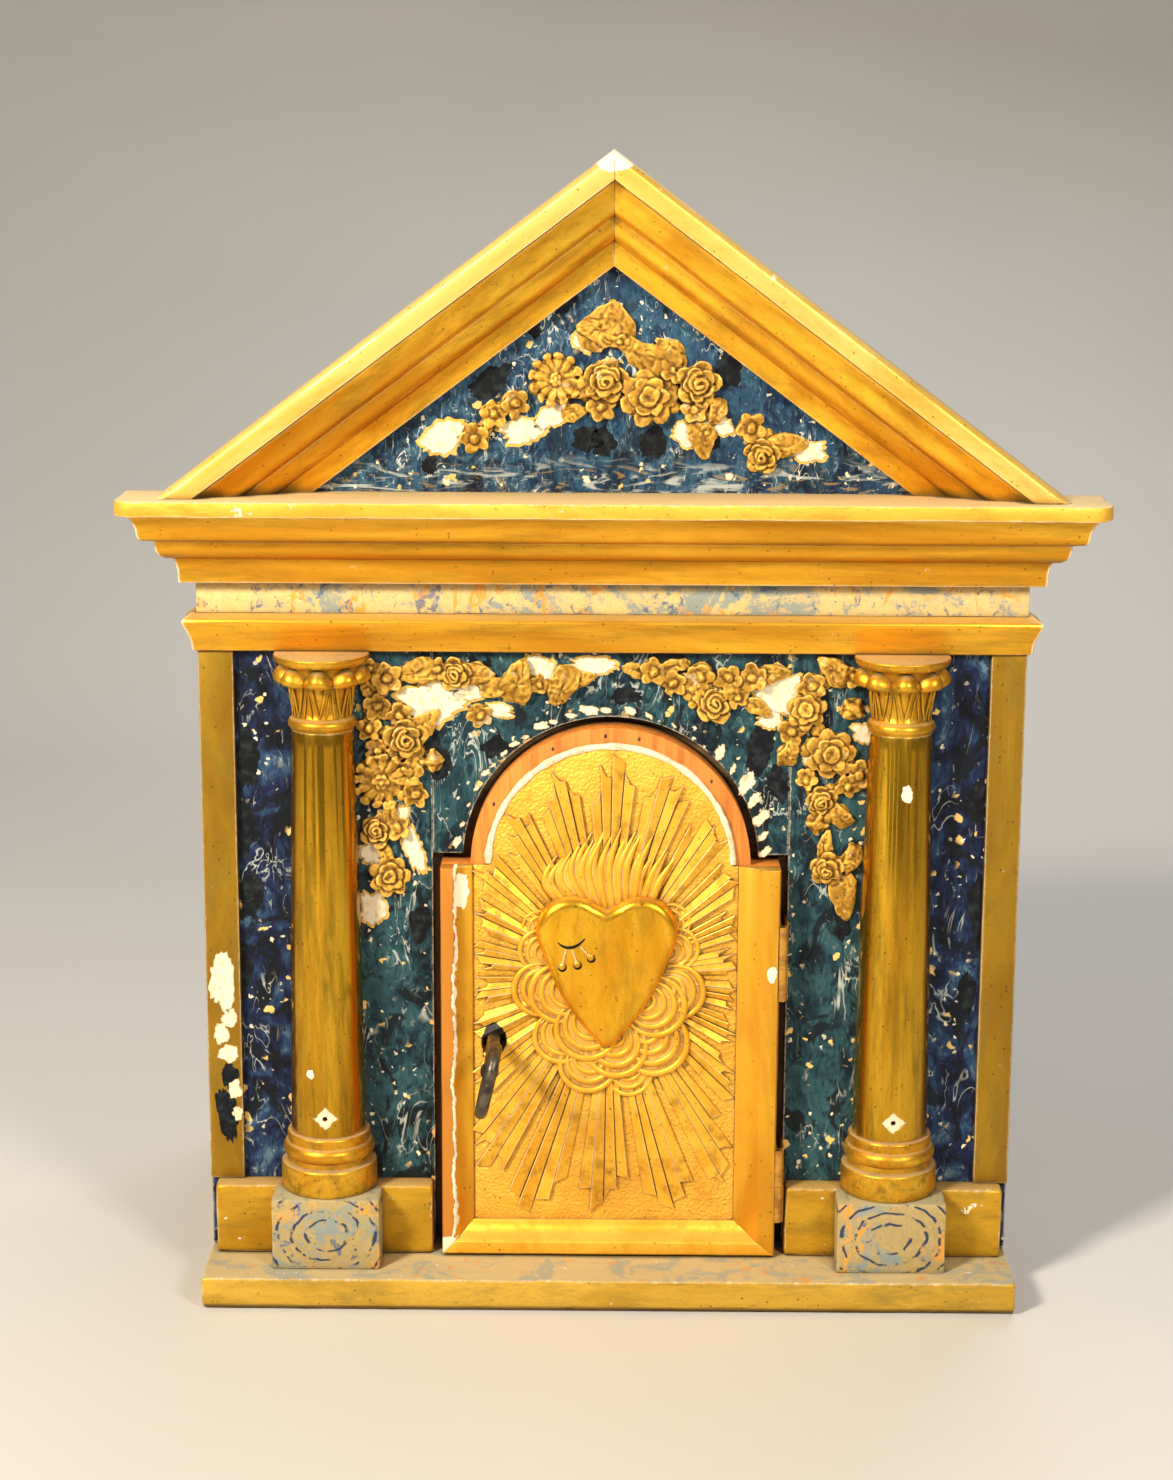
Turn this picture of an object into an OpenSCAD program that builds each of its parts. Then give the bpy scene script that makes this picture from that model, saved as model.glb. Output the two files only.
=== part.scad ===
// Altar tabernacle: a plain board cabinet behind a gilded and marbled front, with an arched door
// between two engaged columns under a pediment.
// X runs to the viewer's right, Y away from the viewer, Z up. The origin is on the underside of the
// base board, on the centre line, in the plane of the front of the gilded side strips.
// Lengths are in millimetres.

/* [Base] */
// Width of the front and of the base board
body_w = 511; // [505:1:520]
// Thickness of the base board
base_t = 22; // [20:1:24]
// How far the base board stands in front of the side strips
base_out = 54; // [50:1:60]

/* [Front] */
// Top of the plinth blocks and of the column pedestals
plinth_top = 68; // [64:1:72]
// Top of the columns and underside of the architrave
order_top = 413.5; // [410:0.5:420]
// Top of the cornice
cornice_top = 511; // [505:1:515]
// Top of the pediment
apex_z = 717; // [700:1:730]
// Overhang of the top cornice board, at the front and the sides
cornice_out = 43; // [40:1:48]
// Thickness of the front panel boards
panel_t = 15; // [14:1:16]
// Depth of the panel face behind the side strips
panel_set = 5; // [4:0.5:6]

/* [Columns] */
// Distance of the column axes from the centre line
column_x = 178.5; // [176:0.5:182]
// Shaft radius at the bottom
shaft_r_low = 23.7; // [22:0.1:25]
// Shaft radius at the top
shaft_r_high = 19.2; // [18:0.1:21]

/* [Door] */
// Width of the door
door_w = 212; // [208:1:214]
// Height of the door's shoulders above the underside of the base
door_shoulder = 279; // [275:1:281]
// Outer radius of the door's arched head
door_arch_r = 87.5; // [84:0.5:88]
// Gap between the door and the edge of its opening
door_gap = 5; // [4.5:0.1:5.5]

/* [Lock] */
// Distance of the key axis left of the centre line
key_x = 73; // [72:0.5:74]
// Height of the key axis
key_z = 167.5; // [166:0.5:170]
// Radius of the key's shank
shank_r = 4; // [3.5:0.1:4.2]
// Reach of the key's bit from the key axis
bit_reach = 13.5; // [12:0.5:13.5]

/* [Cabinet] */
// Width of the cabinet behind the front
cabinet_w = 486; // [470:1:495]
// Depth of the cabinet behind the front panel
cabinet_d = 290; // [270:5:320]
// Thickness of the cabinet boards
board_t = 18; // [15:1:20]

/* [Hidden] */

$fn = 48;

gold = [0.90, 0.66, 0.16];
blue = [0.13, 0.24, 0.30];
cream = [0.86, 0.79, 0.60];
wood = [0.52, 0.36, 0.21];
iron = [0.20, 0.17, 0.14];
brass = [0.72, 0.56, 0.26];

half_w = body_w / 2;
strip_w = 21.7;
panel_back = panel_set + panel_t;
rebate_t = 8;
rebate_back = panel_back + rebate_t;
cabinet_back_y = panel_back + cabinet_d;
back_t = 15;
side_inner = cabinet_w / 2 - board_t;
cabinet_top_z = 448;
floor_t = 8;

// Heights of the entablature
frieze_low = 437;
frieze_high = 457;
top_board_t = 9.5;
moulding_top = cornice_top - top_board_t;
top_back = 10;

// Columns
column_y = -6;
pedestal_w = 68;
pedestal_out = 38;
plinth_out = 12;
plinth_side_gap = 4.5;

// Door and its opening
door_low = 23.5;
door_front = -4;
door_back = panel_back - 0.5;
frame_front = -16;
field_front = -6.5;
field_r = 76;
open_half = door_w / 2 + door_gap + 0.5;
open_arch_r = door_arch_r + door_gap;
open_shoulder = door_shoulder + 4.5;
frame_w_right = 26;
frame_w_left = 20;
frame_h = 21;

// Hinges
hinge_x = 107.8;
hinge_y = -12.6;
knuckle_r = 3.4;
knuckle_gap = 0.5;
hinge_pin_r = 1.5;
hinge_fit = 0.05;
hinge_len = 48;
hinge_seam = 0.3;
hinge_low_z = [46.5, 194];
leaf_t = 1.2;
leaf_reach = 17;
hinge_screw_z = [8, 24, 40];
hinge_screw_r = 1.2;

// Lock
lock_w = 60;
lock_left = -91;
lock_low = key_z - 30;
lock_back = 36;
lock_wall = 1.5;
bolt_y = 29.6;
bolt_t = 4;
bolt_h = 8;
bolt_low = key_z + bit_reach + 1;
curtain_r = 6.5;
curtain_front = 22.5;
curtain_back = 35.8;
curtain_bore_end = 34.3;
lock_screw_r = 1.5;
bit_t = 2.6;
bit_front = 24;
bit_back = 32;
keyhole_r = 7;

// ---------------------------------------------------------------- shared shapes

// A block between two corners
module block(low, high) {
    translate(low) cube([high[0] - low[0], high[1] - low[1], high[2] - low[2]]);
}

// The right-hand copy, or its mirror image on the left
module on_side(side) {
    if (side > 0) children();
    else mirror([1, 0, 0]) children();
}

// A cylinder along Y, from one depth to another
module rod_y(x, z, r, y0, y1) {
    translate([x, y0, z]) rotate([-90, 0, 0]) cylinder(r = r, h = y1 - y0);
}

// Extrudes a (depth, height) outline along X
module run_x(x0, x1) {
    translate([x0, 0, 0]) rotate([90, 0, 90]) linear_extrude(x1 - x0) children();
}

// Extrudes an (x, height) outline along Y
module run_y(y0, y1) {
    translate([0, y1, 0]) rotate([90, 0, 0]) linear_extrude(y1 - y0) children();
}

// Outline of the cornice bed mouldings as [overhang, drop below its top]: a cyma, a small fillet,
// a quarter round and a hollow foot
function cornice_outline(foot) = concat(
    [[34.8, 0]],
    [for (t = [0 : 0.25 : 1]) [35 - 4 * sin(90 * t), -1 - 9.5 * t]],
    [for (t = [0.25 : 0.25 : 1]) [28 + 3 * cos(90 * t), -10.5 - 5.5 * sin(90 * t)]],
    [[21.5, -17.5], [21.5, -20.5]],
    [for (t = [0.25 : 0.25 : 1]) [13 + 8.5 * cos(90 * t), -20.5 - 8.5 * sin(90 * t)]],
    [for (t = [0 : 0.25 : 1]) [9.6 + 2 * (1 - sin(90 * t)), -29.5 - 8.5 * t]],
    [[9.3, -foot]]);

// Outline of the architrave as [overhang, height above its underside]: a hollow under a round nose
function architrave_outline() = concat(
    [[2.6, 0]],
    [for (t = [0 : 0.25 : 1]) [3 + 4.8 * (1 - cos(90 * t)), 1 + 15.5 * t]],
    [[8.4, 18.5], [7.8, 20.3], [3, 23.5]]);

// The space in which a front moulding runs up to its mitres
module mitre_front(back) {
    reach = 60;
    linear_extrude(1000) polygon([
        [-half_w - reach, -reach], [half_w + reach, -reach], [half_w, 0],
        [half_w, back], [-half_w, back], [-half_w, 0]]);
}

// The space in which a side return runs, on the right
module mitre_return(back) {
    reach = 60;
    linear_extrude(1000) polygon([
        [half_w, 0], [half_w + reach, -reach], [half_w + reach, back], [half_w, back]]);
}

module front_moulding(outline, base_z, back) {
    intersection() {
        run_x(-half_w - 60, half_w + 60)
            polygon(concat([[back, base_z + outline[0][1]]],
                [for (p = outline) [-p[0], base_z + p[1]]],
                [[back, base_z + outline[len(outline) - 1][1]]]));
        mitre_front(back);
    }
}

module return_moulding(outline, base_z, back) {
    intersection() {
        run_y(-60, back)
            polygon(concat([[half_w, base_z + outline[0][1]]],
                [for (p = outline) [half_w + p[0], base_z + p[1]]],
                [[half_w, base_z + outline[len(outline) - 1][1]]]));
        mitre_return(back);
    }
}

// ---------------------------------------------------------------- base and cabinet

module base_board() {
    corner = 5;
    color(gold) run_x(-half_w, half_w) polygon([
        [-base_out, corner], [-base_out + corner, 0], [cabinet_back_y, 0],
        [cabinet_back_y, base_t], [-base_out, base_t]]);
}

module cabinet_floor() {
    color(wood) block([-side_inner, rebate_back, base_t],
        [side_inner, cabinet_back_y - back_t, base_t + floor_t]);
}

module cabinet_side(side) {
    color(wood) on_side(side) block([side_inner, panel_back, base_t],
        [cabinet_w / 2, cabinet_back_y - back_t, cabinet_top_z - board_t]);
}
module cabinet_side_left() { cabinet_side(-1); }
module cabinet_side_right() { cabinet_side(1); }

module cabinet_back() {
    color(wood) block([-cabinet_w / 2, cabinet_back_y - back_t, base_t],
        [cabinet_w / 2, cabinet_back_y, cabinet_top_z]);
}

module cabinet_top() {
    color(wood) block([-cabinet_w / 2, panel_back, cabinet_top_z - board_t],
        [cabinet_w / 2, cabinet_back_y - back_t, cabinet_top_z]);
}

// ---------------------------------------------------------------- front boards

module panel_stile(side) {
    color(blue) on_side(side) block([open_half, panel_set, base_t], [half_w, panel_back, frieze_high]);
}
module panel_stile_left() { panel_stile(-1); }
module panel_stile_right() { panel_stile(1); }

module arch_head_board() {
    color(blue) difference() {
        block([-open_half, panel_set, open_shoulder], [open_half, panel_back, frieze_high]);
        rod_y(0, door_shoulder, open_arch_r, panel_set - 1, panel_back + 1);
    }
}

// The door closes on these thin boards behind the opening
rebate_lap = 10;
rebate_glue = 14;
module rebate_stile(side) {
    color(wood) on_side(side) block([door_w / 2 - rebate_lap, panel_back, base_t],
        [open_half + rebate_glue, rebate_back, door_shoulder - 4]);
}
module rebate_stile_left() { rebate_stile(-1); }
module rebate_stile_right() { rebate_stile(1); }

module rebate_arch() {
    color(wood) difference() {
        block([-open_half - rebate_glue, panel_back, door_shoulder - 4],
            [open_half + rebate_glue, rebate_back, door_shoulder + open_arch_r + rebate_glue]);
        rod_y(0, door_shoulder, door_arch_r - rebate_lap, panel_back - 1, rebate_back + 1);
        block([-door_arch_r + rebate_lap, panel_back - 1, door_shoulder - 5],
            [door_arch_r - rebate_lap, rebate_back + 1, door_shoulder]);
    }
}

module side_strip(side) {
    color(gold) on_side(side) block([half_w - strip_w, 0, plinth_top], [half_w, panel_set, order_top]);
}
module side_strip_left() { side_strip(-1); }
module side_strip_right() { side_strip(1); }

module plinth_block(side) {
    color(gold) on_side(side) block([open_half + 1, -plinth_out, base_t],
        [half_w - plinth_side_gap, panel_set, plinth_top]);
}
module plinth_block_left() { plinth_block(-1); }
module plinth_block_right() { plinth_block(1); }

// ---------------------------------------------------------------- columns

module pedestal(side) {
    color(cream) on_side(side) block([column_x - pedestal_w / 2, -pedestal_out, base_t],
        [column_x + pedestal_w / 2, -plinth_out, plinth_top]);
}
module pedestal_left() { pedestal(-1); }
module pedestal_right() { pedestal(1); }

// A turned (radius, height) outline on the column axis, planed flat where it meets the panel
module turned(side) {
    on_side(side) intersection() {
        translate([column_x, column_y, 0]) rotate_extrude() children();
        block([column_x - 60, -60, 0], [column_x + 60, panel_set, 500]);
    }
}

base_disc_top = 85.5;
base_top = 106;
module column_base(side) {
    torus_z = 94.2;
    torus_r = 5.6;
    color(gold) turned(side) union() {
        polygon([[0, plinth_top], [30.3, plinth_top], [30.3, base_disc_top - 1.5],
            [29, base_disc_top], [0, base_disc_top]]);
        polygon([[0, base_disc_top], [26.5, base_disc_top], [26.5, 103], [24.8, base_top], [0, base_top]]);
        translate([23.4, torus_z]) circle(r = torus_r);
    }
}
module column_base_left() { column_base(-1); }
module column_base_right() { column_base(1); }

shaft_top = 366;
peg_hole_z = 119;
module column_shaft(side) {
    hole_r = 1.6;
    color(gold) difference() {
        turned(side) polygon([[0, base_top], [shaft_r_low, base_top],
            [(shaft_r_low + shaft_r_high) / 2 + 0.6, (base_top + shaft_top) / 2],
            [shaft_r_high, shaft_top], [0, shaft_top]]);
        rod_y(side * column_x, peg_hole_z, hole_r, column_y - 40, column_y - 12);
    }
}
module column_shaft_left() { column_shaft(-1); }
module column_shaft_right() { column_shaft(1); }

// Astragal, bell with eight curled leaf tips, and round abacus, cut from one block
module capital(side) {
    bell_r = 18.6;
    leaves = 8;
    leaf_ring_r = 22.5;
    leaf_tip_z = 402.5;
    leaf_tip_r = 5.4;
    abacus_r = 29.5;
    abacus_low = 407.5;
    color(gold) intersection() {
        union() {
            translate([side * column_x, column_y, 0]) rotate_extrude() union() {
                polygon([[0, shaft_top], [shaft_r_high, shaft_top], [shaft_r_high, 374],
                    [bell_r, 375], [bell_r, 392], [21.5, 402], [23, abacus_low],
                    [abacus_r - 4.5, abacus_low], [abacus_r - 1, abacus_low + 2.5],
                    [abacus_r, order_top - 1], [abacus_r - 0.6, order_top], [0, order_top]]);
                translate([17, 370.2]) circle(r = 4);
            }
            for (i = [0 : leaves - 1])
                translate([side * column_x, column_y, leaf_tip_z]) rotate([0, 0, i * 360 / leaves])
                    translate([leaf_ring_r, -9, 0]) rotate([-90, 0, 0])
                        cylinder(r = leaf_tip_r, h = 18);
        }
        block([side * column_x - 60, -60, 0], [side * column_x + 60, panel_set, 500]);
    }
}
module capital_left() { capital(-1); }
module capital_right() { capital(1); }

// ---------------------------------------------------------------- entablature

module architrave_front() {
    color(gold) front_moulding(architrave_outline(), order_top, panel_set);
}

module architrave_returns() {
    color(gold) for (side = [-1, 1])
        on_side(side) return_moulding(architrave_outline(), order_top, panel_back);
}

module frieze_board() {
    color(cream) block([-half_w, 0, frieze_low], [half_w, panel_set, frieze_high]);
}

cornice_foot = moulding_top - frieze_high;
module cornice_moulding_front() {
    color(gold) front_moulding(cornice_outline(cornice_foot), moulding_top, panel_set);
}

module cornice_moulding_returns() {
    color(gold) for (side = [-1, 1])
        on_side(side) return_moulding(cornice_outline(cornice_foot), moulding_top, top_back);
}

module cornice_top_board() {
    corner = 11;
    half = half_w + cornice_out;
    color(gold) union() {
        block([-half + corner, -cornice_out, moulding_top], [half - corner, top_back, cornice_top]);
        block([-half, -cornice_out + corner, moulding_top], [half, top_back, cornice_top]);
        for (side = [-1, 1])
            translate([side * (half - corner), -cornice_out + corner, moulding_top])
                cylinder(r = corner, h = top_board_t);
    }
}

// ---------------------------------------------------------------- pediment

rake_slope = 3 / 4;
rake_angle = atan(rake_slope);
rake_cap_t = 13.5;
rake_depth = 54.9;
rake_set_back = 11.5;
board_front = top_back;
board_back = 24;
board_apex = apex_z - rake_cap_t / cos(rake_angle);
board_half = (board_apex - cornice_top) / rake_slope;

// Backed by the front panel's top edge, and standing up through the cornice to the raking caps
module pediment_board() {
    color(blue) run_y(board_front, board_back) polygon([
        [-board_half, frieze_high], [board_half, frieze_high],
        [board_half, cornice_top], [0, board_apex], [-board_half, cornice_top]]);
}

// Two brackets on the cabinet top that hold the pediment upright
module pediment_braces() {
    brace_x = 120;
    brace_t = 16;
    brace_reach = 80;
    brace_high = 560;
    color(wood) for (x = [-brace_x, brace_x])
        run_x(x - brace_t / 2, x + brace_t / 2) polygon([
            [panel_back, cabinet_top_z], [panel_back, frieze_high], [board_back, frieze_high],
            [board_back, brace_high], [board_back + 12, brace_high],
            [board_back + brace_reach, cabinet_top_z + 12], [board_back + brace_reach, cabinet_top_z]]);
}

// A (depth, drop) outline run down the slope from the apex, cut plumb at the apex and level at the foot
module rake(side) {
    on_side(side) intersection() {
        translate([0, 0, apex_z]) rotate([0, rake_angle, 0]) run_x(-80, 400) children();
        block([0, -60, cornice_top], [330, 60, apex_z + 1]);
    }
}

module raking_cap(side) {
    bevel = 3;
    front = -cornice_out + rake_set_back;
    color(gold) rake(side) polygon([
        [board_back, 0], [front + bevel, 0], [front, -bevel], [front, -rake_cap_t], [board_back, -rake_cap_t]]);
}
module raking_cap_left() { raking_cap(-1); }
module raking_cap_right() { raking_cap(1); }

module raking_moulding(side) {
    outline = cornice_outline(rake_depth - rake_cap_t);
    color(gold) rake(side) polygon(concat(
        [[board_front, -rake_cap_t]],
        [for (p = outline) [-p[0] + rake_set_back, -rake_cap_t + p[1]]],
        [[board_front, -rake_depth]]));
}
module raking_moulding_left() { raking_moulding(-1); }
module raking_moulding_right() { raking_moulding(1); }

// ---------------------------------------------------------------- garlands

// Applied flowers, each as [x, z, radius, height]: a disc with a raised heart
module blooms(list, back_y) {
    for (b = list) {
        rod_y(b[0], b[1], b[2], back_y - b[3], back_y);
        rod_y(b[0], b[1], b[2] * 0.5, back_y - b[3] - 1.5, back_y);
    }
}

pediment_blooms = [
    [-83, 545, 8, 5], [-73, 559, 8, 6], [-60, 565, 9, 6], [-35, 580, 14, 8], [-5, 580, 12, 8],
    [-7, 563, 8, 6], [-6, 611, 10, 6], [3, 624, 4, 5], [21, 569, 15, 9], [29, 592, 8, 6],
    [51, 577, 12, 8], [36, 581, 6, 6], [55, 544, 6, 5], [84, 550, 10, 7], [91, 535, 10, 7]];
module pediment_garland() {
    color(gold) blooms(pediment_blooms, board_front);
}

left_blooms = [
    [-144, 404, 4, 4], [-139, 395, 9, 6], [-121, 399, 8, 6], [-96, 399, 10, 7], [-108, 399, 6, 5],
    [-82, 373, 7, 5], [-58, 393, 8, 6], [-30, 392, 9, 7], [-45, 392, 6, 5], [-148, 378, 7, 5],
    [-128, 357, 12, 8], [-142, 332, 13, 8], [-144, 298, 10, 7], [-139, 269, 11, 7], [-132, 372, 8, 6],
    [-144, 314, 6, 5], [-141, 283, 6, 5]];
module garland_left() {
    color(gold) blooms(left_blooms, panel_set);
}

right_blooms = [
    [25, 401, 8, 6], [39, 394, 8, 6], [55, 398, 9, 6], [72, 397, 8, 6], [63, 380, 12, 7],
    [88, 397, 8, 5], [137, 402, 8, 5], [121, 376, 11, 7], [149, 378, 6, 5], [112, 363, 8, 6],
    [136, 350, 14, 8], [148, 337, 7, 6], [131, 320, 9, 7], [129, 305, 7, 6], [143, 307, 6, 5],
    [136, 276, 10, 7], [137, 290, 7, 5], [144, 257, 7, 6]];
module garland_right() {
    color(gold) blooms(right_blooms, panel_set);
}

// ---------------------------------------------------------------- door

module keyhole_cut(y0, y1) {
    rod_y(-key_x, key_z + 1.5, keyhole_r, y0, y1);
    block([-key_x - keyhole_r, y0, key_z - bit_reach - 1], [-key_x + keyhole_r, y1, key_z + 1.5]);
}

module door_board() {
    color(wood) difference() {
        union() {
            block([-door_w / 2, door_front, door_low], [door_w / 2, door_back, door_shoulder]);
            rod_y(0, door_shoulder, door_arch_r, door_front, door_back);
        }
        keyhole_cut(door_front - 1, door_back + 1);
    }
}

// Gesso ground of the door, inside the frame mouldings and the arch
module door_field() {
    left = -door_w / 2 + frame_w_left;
    right = door_w / 2 - frame_w_right;
    color(gold) difference() {
        union() {
            block([left, field_front, door_low + frame_h], [right, door_front, door_shoulder]);
            intersection() {
                rod_y(0, door_shoulder, field_r, field_front, door_front);
                block([-field_r, -20, door_shoulder], [field_r, 20, door_shoulder + field_r]);
            }
        }
        keyhole_cut(field_front - 1, door_front + 1);
    }
}

// Frame moulding of the door as [distance from the outer edge, depth]: flat band, then a hollow
function frame_outline(w) = concat(
    [[0, door_front], [0, frame_front + 1], [1, frame_front], [w * 0.4, frame_front]],
    [for (t = [0.2 : 0.2 : 1]) [w * (0.4 + 0.5 * t), frame_front + 7.5 * sin(90 * t)]],
    [[w, frame_front + 8], [w, door_front]]);

// Bottom rail between 45 degree mitres
module door_rail_bottom() {
    outline = frame_outline(frame_h);
    color(gold) intersection() {
        run_x(-door_w / 2, door_w / 2)
            polygon([for (p = outline) [p[1], door_low + p[0]]]);
        run_y(-40, 10) polygon([
            [-door_w / 2, door_low], [door_w / 2, door_low],
            [door_w / 2 - frame_w_right, door_low + frame_h],
            [-door_w / 2 + frame_w_left, door_low + frame_h]]);
    }
}

module door_stile(side, w) {
    outline = frame_outline(w);
    color(gold) on_side(side) difference() {
        intersection() {
            translate([0, 0, door_low]) linear_extrude(door_shoulder - door_low)
                polygon([for (p = outline) [door_w / 2 - p[0], p[1]]]);
            run_y(-40, 10) polygon([
                [door_w / 2, door_low], [door_w / 2, door_shoulder],
                [door_w / 2 - w, door_shoulder], [door_w / 2 - w, door_low + frame_h]]);
        }
        if (side > 0) for (z = hinge_low_z)
            translate([hinge_x, hinge_y, z - knuckle_gap])
                cylinder(r = knuckle_r + knuckle_gap, h = hinge_len + 2 * knuckle_gap);
    }
}
module door_stile_left() { door_stile(-1, frame_w_left); }
module door_stile_right() { door_stile(1, frame_w_right); }

// Outline of the heart: two lobes and a point
heart_low = 163;
heart_lobe_z = 238;
heart_lobe_x = 21.5;
heart_lobe_r = 23;
heart_tangent = -40;

module heart_shape() {
    side_x = heart_lobe_x + heart_lobe_r * cos(heart_tangent);
    side_z = heart_lobe_z + heart_lobe_r * sin(heart_tangent);
    for (side = [-1, 1]) translate([side * heart_lobe_x, heart_lobe_z]) circle(r = heart_lobe_r);
    polygon([[0, heart_low], [side_x, side_z], [0, heart_lobe_z + 14], [-side_x, side_z]]);
}

module sacred_heart() {
    flame_top = 300;
    color(gold) union() {
        run_y(-18, field_front) heart_shape();
        for (x = [-24, -12, 0, 12, 24])
            run_y(-11, field_front) polygon([
                [x - 8, 254], [x + 8, 254], [x * 1.15 + 2, flame_top - abs(x) * 0.7]]);
    }
}

// Ring of cloud puffs round the heart
module cloud_wreath() {
    puffs = 18;
    ring_x = 49;
    ring_z = 50;
    centre = [-1, 189];
    color(gold) difference() {
        for (i = [0 : puffs - 1])
            let (a = i * 360 / puffs + 10)
            if (a < 50 || a > 130)
                rod_y(centre[0] + ring_x * cos(a), centre[1] + ring_z * sin(a), 11, -11.5, field_front);
        run_y(-19, field_front + 1) heart_shape();
    }
}

// ---------------------------------------------------------------- hinges

// Butt hinge knuckle: half the hinge's length, bored for the pin
module knuckle(z0) {
    translate([hinge_x, hinge_y, z0]) cylinder(r = knuckle_r, h = (hinge_len - hinge_seam) / 2);
}

module pin_bore(z) {
    translate([hinge_x, hinge_y, z - 1]) cylinder(r = hinge_pin_r + hinge_fit, h = hinge_len + 2);
}

module leaf_screw_holes(x, y, z) {
    for (dz = hinge_screw_z)
        translate([x - 1, y, z + dz]) rotate([0, 90, 0]) cylinder(r = hinge_screw_r, h = 4);
}

frame_leaf_x = open_half - leaf_t;
door_leaf_x = door_w / 2;
leaf_clear_y = hinge_y + knuckle_r + 0.4;
frame_screw_y = 12.5;
door_screw_y = 2;

module hinge_leaf_frame(z) {
    color(brass) difference() {
        union() {
            knuckle(z);
            block([frame_leaf_x, leaf_clear_y, z], [open_half, leaf_reach, z + hinge_len]);
            block([frame_leaf_x, hinge_y, z], [open_half, leaf_clear_y, z + (hinge_len - hinge_seam) / 2]);
            block([hinge_x, hinge_y + knuckle_r - leaf_t, z],
                [open_half, hinge_y + knuckle_r, z + (hinge_len - hinge_seam) / 2]);
        }
        pin_bore(z);
        leaf_screw_holes(frame_leaf_x, frame_screw_y, z);
    }
}
module hinge_leaf_frame_upper() { hinge_leaf_frame(hinge_low_z[1]); }
module hinge_leaf_frame_lower() { hinge_leaf_frame(hinge_low_z[0]); }

module hinge_leaf_door(z) {
    door_knuckle_z = z + (hinge_len + hinge_seam) / 2;
    color(brass) difference() {
        union() {
            knuckle(door_knuckle_z);
            block([door_leaf_x, leaf_clear_y, z], [door_leaf_x + leaf_t, 8, z + hinge_len]);
            block([door_leaf_x, hinge_y, door_knuckle_z], [door_leaf_x + leaf_t, leaf_clear_y, z + hinge_len]);
        }
        pin_bore(z);
        leaf_screw_holes(door_leaf_x, door_screw_y, z);
    }
}
module hinge_leaf_door_upper() { hinge_leaf_door(hinge_low_z[1]); }
module hinge_leaf_door_lower() { hinge_leaf_door(hinge_low_z[0]); }

module hinge_pins() {
    color(iron) for (z = hinge_low_z)
        translate([hinge_x, hinge_y, z]) cylinder(r = hinge_pin_r, h = hinge_len);
}

// Three screws a leaf, driven along X into the wood behind the leaf
module hinge_screws(leaf_x, y, way) {
    screw_len = 12;
    for (z = hinge_low_z, dz = hinge_screw_z)
        translate([leaf_x, y, z + dz]) rotate([0, 90 * way, 0]) cylinder(r = hinge_screw_r, h = screw_len);
}

module hinge_screws_frame() {
    color(iron) hinge_screws(frame_leaf_x, frame_screw_y, 1);
}

module hinge_screws_door() {
    color(iron) hinge_screws(door_leaf_x + leaf_t, door_screw_y, -1);
}

// ---------------------------------------------------------------- lock and key

lock_high = lock_low + lock_w;
lock_screw_at = [for (x = [4.5, lock_w - 4.5], z = [4.5, lock_w - 4.5]) [lock_left + x, lock_low + z]];
run_fit = 0.05;
cover_front = lock_back - lock_wall;

// Open box behind the door, with a keyhole in its face and a slot for the bolt in its edge
module lock_case() {
    color(iron) difference() {
        block([lock_left, door_back, lock_low], [lock_left + lock_w, cover_front, lock_high]);
        block([lock_left + lock_wall, door_back + lock_wall, lock_low + lock_wall],
            [lock_left + lock_w - lock_wall, cover_front + 1, lock_high - lock_wall]);
        rod_y(-key_x, key_z, shank_r + 0.4, door_back - 1, door_back + lock_wall + 1);
        block([-key_x - bit_t / 2 - 0.5, door_back - 1, key_z - bit_reach - 0.6],
            [-key_x + bit_t / 2 + 0.5, door_back + lock_wall + 1, key_z]);
        block([lock_left - 1, bolt_y - 0.3, bolt_low - 0.3],
            [lock_left + lock_wall + 1, bolt_y + bolt_t + 0.3, bolt_low + bolt_h + 0.3]);
        for (p = lock_screw_at) rod_y(p[0], p[1], lock_screw_r, door_back - 1, cover_front);
    }
}

// Back plate of the lock, bored for the curtain
module lock_cover() {
    color(iron) difference() {
        block([lock_left, cover_front, lock_low], [lock_left + lock_w, lock_back, lock_high]);
        rod_y(-key_x, key_z, curtain_r + run_fit, cover_front - 1, lock_back + 1);
        for (p = lock_screw_at) rod_y(p[0], p[1], lock_screw_r, cover_front - 1, lock_back + 1);
    }
}

module lock_screws() {
    color(iron) for (p = lock_screw_at) union() {
        rod_y(p[0], p[1], lock_screw_r, door_back - 9, lock_back);
        rod_y(p[0], p[1], 2 * lock_screw_r, lock_back, lock_back + 1.2);
    }
}

// Bush that turns with the key, slotted for the bit and borne in the cover
module lock_curtain() {
    color(brass) difference() {
        rod_y(-key_x, key_z, curtain_r, curtain_front, curtain_back);
        rod_y(-key_x, key_z, shank_r + run_fit, curtain_front - 1, curtain_bore_end);
        block([-key_x - bit_t / 2 - 0.3, curtain_front - 1, key_z - curtain_r - 1],
            [-key_x + bit_t / 2 + 0.3, bit_back + 0.4, key_z]);
    }
}

module lock_bolt() {
    tail = 38;
    color(iron) block([lock_left - 0.3, bolt_y, bolt_low], [lock_left + tail, bolt_y + bolt_t, bolt_low + bolt_h]);
}

module strike_plate() {
    color(brass) block([-open_half - rebate_glue + 4, rebate_back, bolt_low - 10],
        [-door_w / 2 + rebate_lap, rebate_back + 1.2, bolt_low + bolt_h + 10]);
}

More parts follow.
